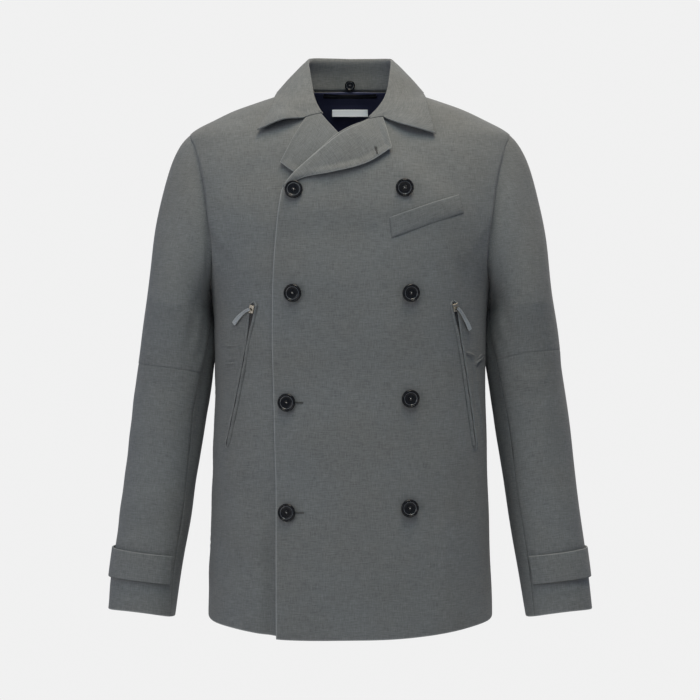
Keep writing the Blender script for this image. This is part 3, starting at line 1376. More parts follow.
# %% Collar sizes
COLLAR_COLUMNS = "station sx sy sz rx ry rz ex ey ez"
COLLAR_ROWS = (
    (0, 0.0, 0.0695, 0.015, 0.0, 0.069, 0.0616, 0.0, 0.087, 0.002),
    (1, 0.03, 0.0665, 0.0145, 0.029, 0.0665, 0.0616, 0.037, 0.083, 0.0015),
    (2, 0.057, 0.046, 0.0125, 0.053, 0.048, 0.0588, 0.074, 0.064, 0.001),
    (3, 0.073, 0.013, 0.009, 0.0585, 0.016, 0.0518, 0.101, 0.02, 0.005),
    (4, 0.07, -0.013, 0.006, 0.056, -0.015, 0.033, 0.1035, -0.015, 0.001),
    (5, 0.057, -0.04, -0.006, 0.051, -0.044, 0.003, 0.107, -0.05, -0.02),
)
COLLAR_FRONT = {
    1: (
        (6, 0.0436, -0.064, -0.025, 0.0422, -0.068, -0.019, 0.112, -0.074, -0.04),
        (7, 0.029, -0.08, -0.041, 0.0262, -0.0853, -0.0385, 0.1168, -0.0885, -0.0608),
    ),
    -1: (
        (6, 0.0492, -0.061, -0.0215, 0.048, -0.065, -0.015, 0.118, -0.072, -0.038),
        (7, 0.042, -0.0745, -0.0345, 0.0391, -0.079, -0.0312, 0.1265, -0.0842, -0.0562),
    ),
}
NOTCH_RISE = {1: 0.0055, -1: -0.003}
# How much higher the middle of the front edge lies, and how far it springs up from the chest
EDGE_BOW = {1: (-0.002, 0.005), -1: (-0.0014, 0.008)}
NOTCH_SHARE = 0.21


def push_off(points, lift):
    """Moves points of the neck and chest out along the body's slope until they clear it."""
    points = points.copy()
    step = 1e-4

    def outside(p):
        height = np.minimum(p[..., 2], BODY["height"][-1])
        square = read(BODY, "square", height)
        deep = np.where(p[..., 1] < 0, read(BODY, "front", height), read(BODY, "back", height))
        wide = np.abs(p[..., 0]) / read(BODY, "half_width", height)
        return wide**square + (np.abs(p[..., 1]) / deep) ** square - 1

    for _ in range(4):
        value = outside(points)
        slope = np.stack([outside(points + m) - outside(points - m) for m in np.eye(3) * step], -1)
        slope /= 2 * step
        steep = np.linalg.norm(slope, axis=-1)
        short = np.maximum(0, lift - value / steep)
        points += slope / steep[..., None] * short[..., None]
    return points


# %% Collar sections
def through(points, shares):
    """A smooth curve through the first axis of points, read at shares of its way."""
    count = len(points)
    keys = np.arange(count, dtype=float)
    at = shares * (count - 1)
    shape = points.shape[1:]
    flat = points.reshape(count, -1)
    slopes = np.gradient(flat, axis=0)
    low = np.clip(np.floor(at).astype(int), 0, count - 2)
    t = (at - keys[low])[:, None]
    value = flat[low] * (1 + 2 * t) * (1 - t) ** 2 + flat[low + 1] * t * t * (3 - 2 * t)
    value += slopes[low] * t * (1 - t) ** 2 - slopes[low + 1] * t * t * (1 - t)
    return value.reshape(len(shares), *shape)


def sew_gorge(dense, side, way):
    """Brings the collar's front, from the roll to the notch, onto the top row of the lapel."""
    points, normals = (grid[-1] for grid in LAPEL_GRIDS[side])
    if side < 0:
        points, normals = points[::-1] * MIRROR, normals[::-1] * MIRROR
    points, normals = points[4:], normals[4:]  # from the outermost line of the roll
    far = cumulative(points[None], 1)[0]
    at = np.clip((way - 3) / 2, 0, 1) * far[-1]
    row = points + normals * 0.0003
    target = np.stack([np.interp(at, far, row[:, axis]) for axis in range(3)], -1)
    amount = fade(way, 2.0, 3.0) * fade(way, 5.7, 5.0)
    offset = (target - dense[:, -1]) * amount[:, None]
    around = cumulative(dense, 1)
    near = bell(around[:, -1:] - around, 0.011)
    return dense + offset[:, None] * near[..., None]


def collar_half(side, stations, shares):
    rows = table(COLLAR_COLUMNS, *COLLAR_ROWS, *COLLAR_FRONT[side])
    seam, roll, edge = (
        np.stack([read(rows, letter + axis, stations) for axis in "xyz"], -1) for letter in "sre"
    )
    out = unit((edge - seam) * np.array([1.0, 1.0, 0.0]))
    stand = np.linalg.norm(roll - seam, axis=-1, keepdims=True)
    small = np.minimum(0.003, 0.35 * stand)
    up = unit(roll - seam)
    profile = [seam, seam + (roll - seam) * 0.5, roll - up * small * 2 - out * small, roll]
    front_end = fade(stations, 6, 7)[:, None]
    for share in (0.08, NOTCH_SHARE, 0.55, 1.0):
        bulge = 0.005 * math.sin(math.pi * share**0.7) * (1 - front_end)
        point = roll + (edge - roll) * share + out * bulge
        hump = max(0.0, 1 - abs(share - NOTCH_SHARE) / NOTCH_SHARE)
        arch = 1.3 * math.sin(math.pi * np.clip((share - NOTCH_SHARE) / (1 - NOTCH_SHARE), 0, 1))
        rise = NOTCH_RISE[side] * hump + EDGE_BOW[side][0] * arch
        point[:, 2] += (rise * front_end)[:, 0]
        profile.append(point)
    dense = through(np.array(profile), shares)
    falling = shares * 7 > 3.9
    fallen = dense[falling]
    lift = np.full(fallen.shape[:2], CLOTH + 0.0018)
    if side > 0:
        lift += top_front_lift(fallen[..., 0], np.minimum(fallen[..., 2], FRONT_TOP))
    around = cumulative(fallen, 1)
    from_front = around[:, -1:] - around
    way = shares[falling] * 7
    out_along = fade(way, 5.0, 6.1) * (1 - 0.45 * fade(way, 6.2, 7.0))
    lift += EDGE_BOW[side][1] * out_along[:, None] * bell(from_front, 0.024)
    dense[falling] = push_off(fallen, lift)
    return sew_gorge(dense, side, shares * 7) * np.array([side, 1.0, 1.0])


# %% Make the collar
def make_collar():
    stations = 7 * lines(0.25, 0.0024, (False, True))
    shares = lines(0.115, 0.0022, (False, True))
    right = collar_half(-1, stations, shares)[:, ::-1]
    left = collar_half(1, stations, shares)[:, 1:]
    points = np.concatenate([right, left], 1)
    normals = unit(np.cross(np.gradient(points, axis=1), np.gradient(points, axis=0)))
    flat_points = points
    around = cumulative(points, 1)
    centre = around[:, len(stations) - 1][:, None]
    uv = np.stack([around - centre, cumulative(points, 0)], -1)
    push = ripple(uv, 0.00035, 71) * fade(border_distance(points, "bottom"), 0.01, 0.05)
    points = pushed(points, normals, push)
    borders = {"top": "pressed", "left": "free", "right": "free", "bottom": "seam"}
    way = (shares * 7)[:, None]
    sewn = fade(way, 2.6, 3.2) * fade(way, 5.3, 5.0)
    fronts = [border_distance(flat_points, border) for border in ("left", "right")]
    sewn = sewn * (np.minimum(*fronts) < 0.01)
    look = {"thickness": DOUBLE_CLOTH, "glow": 0.3, "sewn": sewn}
    return sew("collar", points, normals, uv, borders, "back", flat_points, **look)


make_collar()

# %% [markdown]
# ## Breast welt
# A welt is a narrow band that covers a slanted pocket mouth. Its long lower edge is sewn into the
# chest, its top edge is a fold, and both short ends are stitched down, which pulls them in.

# %% Make the welt
WELT_BOTTOM = ((0.0553, -0.2058), (0.1529, -0.1708))
WELT_TOP = ((0.052, -0.179), (0.1474, -0.1452))
WELT_THICKNESS = 0.0012


def make_welt():
    along = lines(0.105, 0.0016)
    up = lines(0.027, 0.0014)[:, None]
    corner = lambda ends, axis: ends[0][axis] + (ends[1][axis] - ends[0][axis]) * along
    across = corner(WELT_BOTTOM, 0) * (1 - up) + corner(WELT_TOP, 0) * up
    height = corner(WELT_BOTTOM, 1) * (1 - up) + corner(WELT_TOP, 1) * up
    base, normals = on_front(across, height, 0 * across)
    ends = np.minimum(border_distance(base, "left"), border_distance(base, "right"))
    lift = 0.0014 + 0.0009 * fade(ends, 0.0, 0.0045) * (0.3 + 0.7 * fade(up, 0.0, 0.25))
    lift = lift + top_front_lift(across, height) + 0.0005 * fade(ends, 0.0, 0.03) * up
    points = base + normals * lift[..., None]
    uv = cloth_axes(points) + 0.7
    points = points + normals * ripple(uv, 0.00025, 81)[..., None]
    borders = {"top": "free", "left": "seam", "right": "seam", "bottom": "seam"}
    look = {"thickness": WELT_THICKNESS, "glow": 0.45}
    return sew("welt_pocket", points, normals, uv, borders, "front_left", **look)


make_welt()

# %% [markdown]
# ## Things that repeat
# Stitches, zip teeth and the wrapped threads of a buttonhole are one small shape placed again and
# again along a line. Geometry Nodes do that well: the tree takes a line, places points on it at
# an even pitch, and sets a short rounded rod on each, along the line or square to it.


# %% The tree for stitches and teeth
def build_repeat_tree():
    tree, given, result = new_group(
        "rods_on_a_line",
        "GeometryNodeTree",
        [
            ("Line", "Geometry"),
            ("Pitch", "Float", 0.003),
            ("Rod Length", "Float", 0.002),
            ("Rod Radius", "Float", 0.0002),
            ("Square To Line", "Bool", False),
            ("Finish", "Material"),
        ],
        [("Rods", "Geometry")],
    )
    curve = wire(tree, "GeometryNodeMeshToCurve", {"Mesh": given["Line"]}).outputs[0]
    pitch = {"Curve": curve, "Length": given["Pitch"]}
    spaced = wire(tree, "GeometryNodeResampleCurve", pitch, mode="LENGTH").outputs[0]
    sizes = {"Vertices": 6, "Radius": given["Rod Radius"], "Depth": given["Rod Length"]}
    rod = wire(tree, "GeometryNodeMeshCylinder", sizes).outputs["Mesh"]
    name = {"Name": "up"}
    up = wire(tree, "GeometryNodeInputNamedAttribute", name, data_type="FLOAT_VECTOR").outputs[0]
    along = wire(tree, "GeometryNodeInputTangent").outputs[0]
    square = wire(tree, "ShaderNodeVectorMath", {0: up, 1: along}, operation="CROSS_PRODUCT")
    ways = {"Switch": given["Square To Line"], "False": along, "True": square.outputs["Vector"]}
    lie = wire(tree, "GeometryNodeSwitch", ways, input_type="VECTOR").outputs["Output"]
    axes = {"Primary Axis": lie, "Secondary Axis": up}
    turn = wire(tree, "FunctionNodeAxesToRotation", axes, primary_axis="Z", secondary_axis="X")
    copies = {"Points": spaced, "Instance": rod, "Rotation": turn.outputs["Rotation"]}
    laid = wire(tree, "GeometryNodeInstanceOnPoints", copies).outputs[0]
    real = wire(tree, "GeometryNodeRealizeInstances", {0: laid}).outputs[0]
    finish = {"Geometry": real, "Material": given["Finish"]}
    fill(tree, result, {"Rods": wire(tree, "GeometryNodeSetMaterial", finish).outputs[0]})
    return tree


REPEAT = build_repeat_tree()


# %% Run the tree on a line
def apply_modifiers(made):
    """Turns an object's modifiers into plain mesh, and removes them."""
    graph = bpy.context.evaluated_depsgraph_get()
    mesh = bpy.data.meshes.new_from_object(made.evaluated_get(graph))
    made.modifiers.clear()
    made.data = mesh
    return mesh
def line_mesh(name, runs):
    """Loose edges, with the cloth's normal kept at each point. `runs` are (points, normals)."""
    mesh = bpy.data.meshes.new(name)
    vertices, edges, ups = [], [], []
    for points, normals in runs:
        start = len(vertices)
        vertices += [tuple(map(float, p)) for p in points]
        ups += [tuple(map(float, n)) for n in normals]
        edges += [(start + k, start + k + 1) for k in range(len(points) - 1)]
    mesh.from_pydata(vertices, edges, [])
    layer = mesh.attributes.new("up", "FLOAT_VECTOR", "POINT")
    layer.data.foreach_set("vector", np.array(ups, np.float32).reshape(-1))
    return mesh


def rods_on(name, runs, pitch, length, radius, square, material, slot="shell_cloth"):
    made = placed(name, line_mesh(name + "_line", runs))
    modifier = made.modifiers.new("rods", "NODES")
    modifier.node_group = REPEAT
    values = {
        "Pitch": pitch,
        "Rod Length": length,
        "Rod Radius": radius,
        "Square To Line": square,
        "Finish": material,
    }
    for item in REPEAT.interface.items_tree:
        if item.in_out == "INPUT" and item.name in values:
            modifier[item.identifier] = values[item.name]
    mesh = apply_modifiers(made)
    mesh.shade_smooth()
    print(f"{name}: {len(mesh.polygons)} faces")
    return settle(made, slot)


# %% [markdown]
# ## Side pockets
# Each side pocket is a slanted zip between two narrow turned lips. The lips meet over the teeth
# and only part at the top, under the slider. A lip is a soft half-round strip of the shell cloth.

# %% Zip sizes
ZIPS = {
    "left": {"top": (0.1390, -0.2928), "bottom": (0.1708, -0.4875)},
    "right": {"top": (-0.1302, -0.2950), "bottom": (-0.1678, -0.4850)},
}


def zip_frame(word, steps):
    """Places down the zip, and the direction square to it on the front, by share from the top."""
    top, bottom = (np.array(ZIPS[word][end]) for end in ("top", "bottom"))
    run = (bottom - top) / np.linalg.norm(bottom - top)
    aside = np.array([-run[1], run[0]])
    if aside[0] < 0:
        aside = -aside
    bow = 0.0016 * np.sin(np.pi * np.clip(steps, 0, 1))
    return top + (bottom - top) * steps[..., None] + aside * bow[..., None], aside


def pocket_points(word, steps, offset, lift):
    place, aside = zip_frame(word, steps)
    place = place + aside * offset[..., None]
    across, height = place[..., 0], place[..., 1]
    under = top_front_lift(across, height) if word == "left" else 0 * across
    return on_front(across, height, lift + under)


# %% Lips
LIP_WIDTH = 0.0044
LIP_RISE = 0.003
LIP_THICKNESS, TAPE_THICKNESS = 0.0007, 0.0005


def lip_grid(word, hand):
    """`hand` is -1 for the lip nearer the image's left and 1 for the other."""
    steps = (-0.03 + lines(0.205, 0.0016) * 1.052)[::-1]
    share = np.linspace(0, 1, 15)
    step, side = np.meshgrid(steps, share, indexing="ij")
    parted = 0.0018 * fade(step, 0.27, 0.03) * fade(step, -0.03, 0.0) + 0.0004
    closing = fade(step, -0.03, 0.0) * fade(step, 1.022, 0.985)
    width = LIP_WIDTH * (0.35 + 0.65 * closing)
    inward = parted + width * side
    rise = LIP_RISE * (0.3 + 0.7 * closing) * np.sin(np.pi * (0.16 + 0.84 * side)) ** 0.8 - 0.0002
    rise = rise + 0.0003 * np.sin(step * 41 + hand) * closing
    order = slice(None) if hand > 0 else slice(None, None, -1)
    offset, rise = (hand * inward)[:, order], rise[:, order]
    points, _ = pocket_points(word, step[:, order], offset, rise)
    return points, unit(np.cross(np.gradient(points, axis=1), np.gradient(points, axis=0)))


def joined(name, pieces):
    """One mesh from several, with their attributes and cloth coordinates."""
    work = bmesh.new()
    for piece in pieces:
        work.from_mesh(piece.data)
    made = pieces[0]
    work.to_mesh(made.data)
    work.free()
    for piece in pieces[1:]:
        bpy.data.objects.remove(piece)
    made.name = name
    return made


def make_lips(word):
    pieces, sizes = [], []
    for hand in (-1, 1):
        points, normals = lip_grid(word, hand)
        uv = cloth_axes(points) + 0.13 * hand
        inner_side, outer_side = ("left", "right") if hand > 0 else ("right", "left")
        borders = {"top": "free", "bottom": "free", inner_side: "free", outer_side: "seam"}
        sheet = (points, normals, LIP_THICKNESS, borders, uv, [SHELL])
        pieces.append(make_shell("lip", *sheet, glow=0.7))
        sizes.append(points)
    lips = joined(f"pocket_{word}_lips", pieces)
    return declare_cloth(lips, np.concatenate(sizes, 1), "shell_cloth", None)


for zip_word in ZIPS:
    make_lips(zip_word)


# %% Tape and teeth
def make_tape(word):
    steps = (-0.01 + lines(0.2, 0.003) * 1.0)[::-1]
    share = np.linspace(-1, 1, 9)
    step, side = np.meshgrid(steps, share, indexing="ij")
    sewn_in = 0.0016 * fade(np.abs(side), 0.5, 0.9)  # its edges are sewn in behind the cloth
    points, normals = pocket_points(word, step, side * 0.0053, 0.0006 - sewn_in)
    uv = cloth_axes(points)
    borders = dict.fromkeys(("top", "bottom", "left", "right"), "none")
    look = {"slot": "zip_metal", "thickness": TAPE_THICKNESS, "materials": [ZIP_DARK]}
    sheet = (points, normals, uv, borders, "front_" + word)
    return sew("zip_" + word, *sheet, ending="_tape", **look)


def make_teeth(word):
    steps = np.linspace(0.01, 0.985, 120)
    points, normals = pocket_points(word, steps, 0 * steps, 0.001 + 0 * steps)
    sizes = (0.0013, 0.0026, 0.0004)  # pitch, width and radius of the teeth
    return rods_on(f"zip_{word}_teeth", [(points, normals)], *sizes, True, ZIP_DARK, "zip_metal")


for zip_word in ZIPS:
    make_tape(zip_word)
    make_teeth(zip_word)

# %% [markdown]
# ## Sliders and pulls
# The sliders are hard pieces with true shapes already, so those solids stay and only take a
# better finish. Each pull is a soft rubber ribbon, moulded with a groove between two raised
# edges. It hangs from its slider in a curve, so a section is drawn along that curve.

# %% Finish the sliders
for zip_word in ZIPS:
    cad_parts["zip_slider_" + zip_word].data.materials[0] = METAL

# %% Meshes from loose faces
def outward_mesh(name, work, materials=()):
    """A smooth mesh from a bmesh, with every face turned outwards."""
    bmesh.ops.recalc_face_normals(work, faces=work.faces)
    mesh = bpy.data.meshes.new(name)
    work.to_mesh(mesh)
    work.free()
    for material in materials:
        mesh.materials.append(material)
    mesh.shade_smooth()
    return mesh


# %% Pull ribbons
# Where each ribbon hangs from, where it ends, and how far its middle bows aside, in metres
PULLS = {
    "left": {"hinge": (0.14461, -0.11106, -0.29877), "end": (0.1610, -0.3286), "bow": 0.0018},
    "right": {"hinge": (-0.13463, -0.11461, -0.30078), "end": (-0.1562, -0.3204), "bow": -0.0028},
}
PULL_SECTION = (
    (-1.0, 0.0), (-0.97, 0.7), (-0.86, 1.0), (-0.7, 1.0), (-0.5, 0.1), (-0.2, -0.1),
    (0.2, -0.1), (0.5, 0.1), (0.7, 1.0), (0.86, 1.0), (0.97, 0.7), (1.0, 0.0),
    (0.97, -0.7), (0.8, -1.0), (-0.8, -1.0), (-0.97, -0.7),
)


def make_pull(word):
    pull = PULLS[word]
    hinge = np.array(pull["hinge"])
    ends = np.array([hinge[[0, 2]], pull["end"]])
    share = np.concatenate([[0.0, 0.01, 0.03], np.linspace(0.07, 0.93, 22), [0.97, 0.99, 1.0]])
    run = ends[1] - ends[0]
    aside = np.array([-run[1], run[0]]) / np.linalg.norm(run)
    bow = pull["bow"] * np.sin(np.pi * share**0.8)
    flat = ends[0] + run * share[:, None] + aside * bow[:, None]
    under = top_front_lift(flat[:, 0], flat[:, 1]) if word == "left" else 0 * share
    cloth, normals = on_front(flat[:, 0], flat[:, 1], under)
    start = float((hinge - cloth[0]) @ normals[0])
    lift = start * fade(share, 0.55, 0.0) + 0.0029 * fade(share, 0.0, 0.55)
    middle = cloth + normals * lift[:, None]
    middle = middle + (hinge - middle[0]) * ((1 - share) ** 2)[:, None]
    ahead = unit(np.gradient(middle, axis=0))
    sides = unit(np.cross(ahead, normals))
    ups = np.cross(sides, ahead)
    from_middle = np.abs(2 * share - 1)
    half = 0.0021 + 0.0014 * fade(share, 0.05, 1.0)
    half = half * np.sqrt(np.clip(1 - from_middle**40, 0.04, 1))
    thick = 0.0009 * np.sqrt(np.clip(1 - from_middle**60, 0.15, 1))
    u, v = np.array(PULL_SECTION).T
    rings = middle[:, None] + sides[:, None] * (half[:, None] * u)[..., None]
    rings = rings + ups[:, None] * (thick[:, None] * v)[..., None]
    count = len(u)
    index = np.arange(len(rings) * count).reshape(-1, count)
    after = np.roll(index, -1, axis=1)
    faces = np.stack([index[:-1], after[:-1], after[1:], index[1:]], -1).reshape(-1, 4).tolist()
    faces += [index[0][::-1].tolist(), index[-1].tolist()]
    work = bmesh.new()
    corners = [work.verts.new(corner) for corner in rings.reshape(-1, 3)]
    for face in faces:
        work.faces.new([corners[k] for k in face])
    mesh = outward_mesh(f"zip_pull_{word}_ribbon", work, [PULL])
    made = placed(mesh.name, mesh)
    print(f"pull {word}: {len(mesh.polygons)} faces, starts {start * 1000:.1f} mm above the cloth")
    return settle(made, "pull_rubber", "zip_pull_" + word, body_name="pull_" + word)


for zip_word in PULLS:
    make_pull(zip_word)

# %% [markdown]
# ## Buttons
# Each button is turned from horn: a flat back, a rounded rim, a fine groove and a shallow dish
# with four holes. The section is spun once, the holes are cut with a Boolean, and copies of the
# mesh are laid on the cloth. Thread passes through the holes and down to the cloth.

# %% One button
BUTTON_RADIUS = 0.01175
BUTTON_SECTION = (
    (0, 0), (0.78, 0), (0.9, 0.1), (0.97, 0.24), (1, 0.42), (0.995, 0.6), (0.97, 0.8), (0.93, 0.93),
    (0.88, 1), (0.84, 0.98), (0.81, 0.88), (0.79, 0.72), (0.77, 0.64), (0.75, 0.62), (0.73, 0.65),
    (0.71, 0.71), (0.685, 0.72), (0.66, 0.66), (0.63, 0.58), (0.56, 0.53), (0.4, 0.53), (0.2, 0.54),
    (0, 0.54),
)
BUTTON_HEIGHT = 0.0042
HOLE_REACH = 0.0021  # from the middle of the button to the middle of a hole


def spun(name, section, sides):
    """A closed solid turned about Z, from (radius, height) pairs that start and end on it."""
    work = bmesh.new()
    rings = []
    for radius, height in section:
        if radius == 0:
            rings.append([work.verts.new((0, 0, height))])
            continue
        angles = np.arange(sides) * 2 * math.pi / sides
        places = [(radius * math.cos(a), radius * math.sin(a), height) for a in angles]
        rings.append([work.verts.new(place) for place in places])
    for low, high in zip(rings, rings[1:]):
        for k in range(sides):
            after = (k + 1) % sides
            ways = ((low, k), (low, after), (high, after), (high, k))
            corners = [ring[at % len(ring)] for ring, at in ways]
            work.faces.new(list(dict.fromkeys(corners)))
    return placed(name, outward_mesh(name, work))


def drilled_button():
    section = [(r * BUTTON_RADIUS, h * BUTTON_HEIGHT) for r, h in BUTTON_SECTION]
    disc = spun("button_pattern", section, 56)
    for k in range(4):
        angle = math.pi / 4 + k * math.pi / 2
        drill = spun("drill", [(0, -0.001), (0.0010, -0.001), (0.0010, 0.006), (0, 0.006)], 16)
        place = (HOLE_REACH * math.cos(angle), HOLE_REACH * math.sin(angle), 0)
        drill.data.transform(Matrix.Translation(place))
        cut = disc.modifiers.new("hole", "BOOLEAN")
        cut.operation, cut.object = "DIFFERENCE", drill
        mesh = apply_modifiers(disc)
        bpy.data.objects.remove(drill)
    bpy.data.objects.remove(disc)
    mesh.materials.clear()
    mesh.materials.append(HORN)
    mesh.materials.append(HORN_RING)
    for face in mesh.polygons:
        radius = math.hypot(face.center.x, face.center.y) / BUTTON_RADIUS
        face.material_index = int(0.665 < radius < 0.745 and face.center.z > 0.5 * BUTTON_HEIGHT)
    mesh.shade_smooth()
    mesh.set_sharp_from_angle(angle=math.radians(42))
    return mesh


BUTTON = drilled_button()
print("button:", len(BUTTON.polygons), "faces")


# %% Thread of one button
def thread_mesh(name, runs, radius, sides=6):
    """Round threads along short lines of points."""
    work = bmesh.new()
    for points in runs:
        points = [Vector(p) for p in points]
        rings = []
        for k, point in enumerate(points):
            ahead = (points[min(k + 1, len(points) - 1)] - points[max(k - 1, 0)]).normalized()
            side = ahead.cross(Vector((0.31, 0.17, 0.94))).normalized()
            lift = ahead.cross(side)
            angles = [2 * math.pi * a / sides for a in range(sides)]
            ways = [side * math.cos(a) + lift * math.sin(a) for a in angles]
            rings.append([work.verts.new(point + way * radius) for way in ways])
        for low, high in zip(rings, rings[1:]):
            for a in range(sides):
                work.faces.new((low[a], low[(a + 1) % sides], high[(a + 1) % sides], high[a]))
        work.faces.new(rings[0][::-1])
        work.faces.new(rings[-1])
    return outward_mesh(name, work, [BLACK_THREAD])


def button_thread(reach):
    """Two bars over the dish through four holes, and a short shank down to the cloth."""
    runs = []
    spot = HOLE_REACH * math.sqrt(0.5)
    top = 0.54 * BUTTON_HEIGHT + 0.0002
    for y in (-spot, spot):
        for shift in (-0.0003, 0.0003):
            half = [(spot, -0.0003), (spot, top - 0.0003), (spot * 0.5, top + 0.0003)]
            run = [(-x, y + shift, z) for x, z in half]
            runs.append(run + [(x, y + shift, z) for x, z in half[::-1]])
    for k in range(6):
        angle = k * math.pi / 3
        x, y = 0.0009 * math.cos(angle), 0.0009 * math.sin(angle)
        runs.append([(x * 1.3, y * 1.3, -reach), (x, y, -reach / 2), (x * 1.3, y * 1.3, 0.0002)])
    mesh = thread_mesh("button_thread", runs, 0.00032)
    knot_line = [(0.0, -0.0006, top + 0.0003), (0.0, 0.0006, top + 0.0003)]
    knot = thread_mesh("knot", [knot_line], 0.00055)
    knot.materials[0] = KNOT
    work = bmesh.new()
    work.from_mesh(mesh)
    first = len(work.faces)
    work.from_mesh(knot)
    for face in list(work.faces)[first:]:
        face.material_index = 1
    work.to_mesh(mesh)
    work.free()
    mesh.materials.append(KNOT)
    mesh.shade_smooth()
    return mesh


# %% Lay the buttons on the coat
BUTTON_PLACES = {
    "button_right_1": (-0.0747, -0.1418), "button_right_2": (-0.0758, -0.2789),
    "button_right_3": (-0.0840, -0.4260), "button_right_4": (-0.0836, -0.5734),
    "button_left_1": (0.0723, -0.1394), "button_left_2": (0.0806, -0.2788),
    "button_left_3": (0.0801, -0.4208), "button_left_4": (0.0790, -0.5677),
}
# How far each one leans, in degrees about its own left-right and up-down lines, and its spin
LEAN = {
    "button_left_1": (24, -4, 20), "button_left_2": (3, 3, 10), "button_left_3": (4, -2, 3),
    "button_left_4": (2, 2, 6), "button_right_1": (2, 2, 40), "button_right_2": (2, -4, 44),
    "button_right_3": (1, 2, 47), "button_right_4": (3, -3, 42),
}
BUTTON_GAP = 0.0012


def facing(origin, normal, spin=0.0, lean=(0, 0)):
    z_axis = Vector(normal).normalized()
    x_axis = Vector((0, 0, 1)).cross(z_axis).normalized()
    basis = Matrix((x_axis, z_axis.cross(x_axis), z_axis)).transposed().to_4x4()
    matrix = Matrix.Translation(Vector(origin)) @ basis
    tilt = Matrix.Rotation(math.radians(lean[0]), 4, "X")
    tilt = tilt @ Matrix.Rotation(math.radians(lean[1]), 4, "Y")
    return matrix @ tilt @ Matrix.Rotation(math.radians(spin), 4, "Z")


def lay(name, mesh, matrix):
    copy = mesh.copy()
    copy.name = name
    copy.transform(matrix)
    return placed(name, copy)


def lay_button(node, origin, normal, lean, spin, scale=1.0):
    matrix = facing(origin, normal, spin, lean) @ Matrix.Scale(1.04 * scale, 4)
    settle(lay(node + "_horn", BUTTON, matrix), "button_black", node)
    settle(lay(node + "_thread", button_thread(0.0016), matrix), "button_black")


for node, (across, height) in BUTTON_PLACES.items():
    lift = BUTTON_GAP + float(top_front_lift(np.array(across), np.array(height)))
    origin, normal = on_front(np.array(across), np.array(height), np.array(lift))
    lean = LEAN[node]
    raise_by = BUTTON_RADIUS * math.sin(math.radians(abs(lean[0]) + abs(lean[1]))) * 0.8
    lay_button(node, origin + normal * raise_by * 0.5, normal, lean[:2], lean[2])
lay_button("button_neck", (0, 0.0680, 0.0226), (0, -1, 0), (0, 0), 45, 0.60)

# %% [markdown]
# ## Buttonholes
# Four keyhole buttonholes lie under the far column of buttons, and their tails show beside them.
# The lapel has a short straight one. Each is a dark slit with thread wrapped round its edge.


# %% Make the buttonholes
def on_chest(places):
    across, height = places.T
    return on_front(across, height, top_front_lift(across, height) + 0.0001)


def on_lapel(places):
    """The points of the lapel's own grid that lie nearest to these places, seen from the front."""
    points, normals = (grid.reshape(-1, 3) for grid in LAPEL_GRIDS[1])
    gaps = np.linalg.norm(points[None][..., [0, 2]] - places[:, None], axis=-1)
    nearest = np.argsort(gaps, axis=1)[:, :3]
    normal = normals[nearest].mean(1)
    return points[nearest].mean(1) + normal * 0.0002, unit(normal)


def make_buttonhole(name, start, end, surface):
    """A dark slit, and thread wrapped over both of its sides."""
    start, end = np.array(start), np.array(end)
    line = start + (end - start) * np.linspace(0, 1, 12)[:, None]
    run = (end - start) / np.linalg.norm(end - start)
    aside = np.array([-run[1], run[0]]) * 0.0008
    wraps = [surface(line - aside), surface(line + aside)]
    rods_on(name + "_stitches", wraps, 0.00055, 0.0013, 0.00023, True, THREAD)
    middle, _ = surface(line)
    slit_mesh = thread_mesh(name, [[tuple(p) for p in middle]], 0.00035)
    return settle(placed(name + "_slit", slit_mesh), "shell_cloth")


# How far each one reaches past its button's middle
TAIL = {1: 0.0125, 2: 0.0125, 3: 0.0215, 4: 0.0225}
for number, reach in TAIL.items():
    across, height = BUTTON_PLACES[f"button_right_{number}"]
    start, end = (across - 0.001, height), (across + reach, height - 0.0004)
    make_buttonhole(f"buttonhole_{number}", start, end, on_chest)
make_buttonhole("lapel_buttonhole", (0.0368, -0.0912), (0.0346, -0.0820), on_lapel)
BAR = np.array([[-0.0011, 0.0003], [0.0, 0.0], [0.0011, -0.0003]])
for place, bar in (((0.0368, -0.0916), "low"), ((0.0346, -0.0816), "high")):
    bar_line = on_lapel(np.array(place) + BAR)
    rods_on("lapel_buttonhole_bar_" + bar, [bar_line], 0.0006, 0.0008, 0.00030, True, THREAD)

# %% [markdown]
# ## Inside the neck
# The lining shows through the open neck: a smooth navy cloth with a faint sheen. A loop to hang
# the coat by lies along the neck seam, with a small bare label below it.

# %% Lining, loop and label
LINING_INSIDE = CLOTH + 0.0006
LINING_THICKNESS = 0.0007
ALL_FREE = dict.fromkeys(("top", "bottom", "left", "right"), "free")


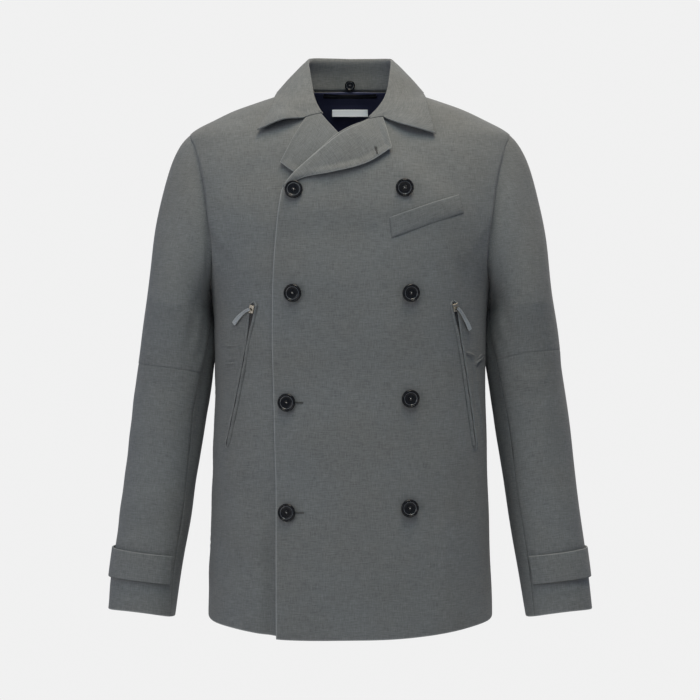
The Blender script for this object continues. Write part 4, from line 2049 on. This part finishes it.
def make_lining():
    points, normals, uv, levels = back_grid(0.0045)
    rows = levels[:, levels.shape[1] // 2] > -0.135
    keep = slice(12, points.shape[1] - 12)
    points, normals, uv = points[rows][:, keep], normals[rows][:, keep], uv[rows][:, keep]
    points = points - normals * LINING_INSIDE
    ease = ripple(uv * np.array([2.2, 0.7]), 0.0005, 91)
    ease = ease * fade(border_distance(points, "top"), 0.0, 0.02)
    points = pushed(points, normals, ease - 0.0012)
    # The lining faces the neck, so its grid is turned round
    points, uv, normals = points[:, ::-1], uv[:, ::-1], -normals[:, ::-1]
    look = {"slot": "lining_cloth", "thickness": LINING_THICKNESS, "materials": [LINING]}
    return sew("lining_back", points, normals, uv, ALL_FREE, "back", glow=0.0, **look)


def inner_strip(node, ending, slot, material, half, bottom, top, thickness, bow, upright):
    """A strip of cloth inside the back of the neck, `half` its width, that bows out by `bow`."""
    share = lines(2 * half, 0.0012)
    across = half - 2 * half * share
    up = lines(top - bottom, 0.0008)[:, None]
    heights = bottom + (top - bottom) * up + 0 * across
    across = across + 0 * heights
    level_share = across / read(BODY, "half_width", heights)
    power = read(BODY, "square", heights) / 2
    turns = 2 - np.arcsin(signed_power(level_share, power)) * 2 / math.pi
    normals = body_normal(turns, heights)
    middle = np.cos(across / half * math.pi / 2)
    depth = LINING_INSIDE + 0.001 + 0.0008 + bow * middle
    sag = 0.0012 * middle * (bow > 0)
    points = body(turns, heights) - normals * (depth + thickness)[..., None]
    points[..., 2] -= sag
    if upright:  # sewn down along its top only, so it hangs straight
        points[..., 1] = points[-1:, :, 1] - 0.0004
    points, normals = points[:, ::-1], -normals[:, ::-1]
    uv = cloth_axes(points)
    look = {"ending": ending, "slot": slot, "thickness": thickness, "materials": [material]}
    return sew(node, points, normals, uv, ALL_FREE, "lining_back", **look)


make_lining()
for strip in (
    ("hang_loop", "_cord", "lining_cloth", LOOP, 0.040, 0.0088, 0.0116, 0.0014, 0.0028, False),
    ("neck_label", "_cloth", "label_cloth", LABEL, 0.026, -0.0188, -0.0088, 0.0008, 0.0, True),
):
    inner_strip(*strip)

# %% [markdown]
# ## Last measurements
# The finished model must not outgrow the solids it stands for, so both boxes are written down.

# %% Sizes and finish
final_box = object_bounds()
solid = [o.data for o in bpy.data.objects if o.type == "MESH"]
print("triangles in the scene:", sum(len(p.vertices) - 2 for mesh in solid for p in mesh.polygons))
boxes = {"cad": [list(corner) for corner in cad_box]}
boxes["visual"] = [list(corner) for corner in final_box]
print("visual box", [tuple(round(c, 3) for c in corner) for corner in final_box])
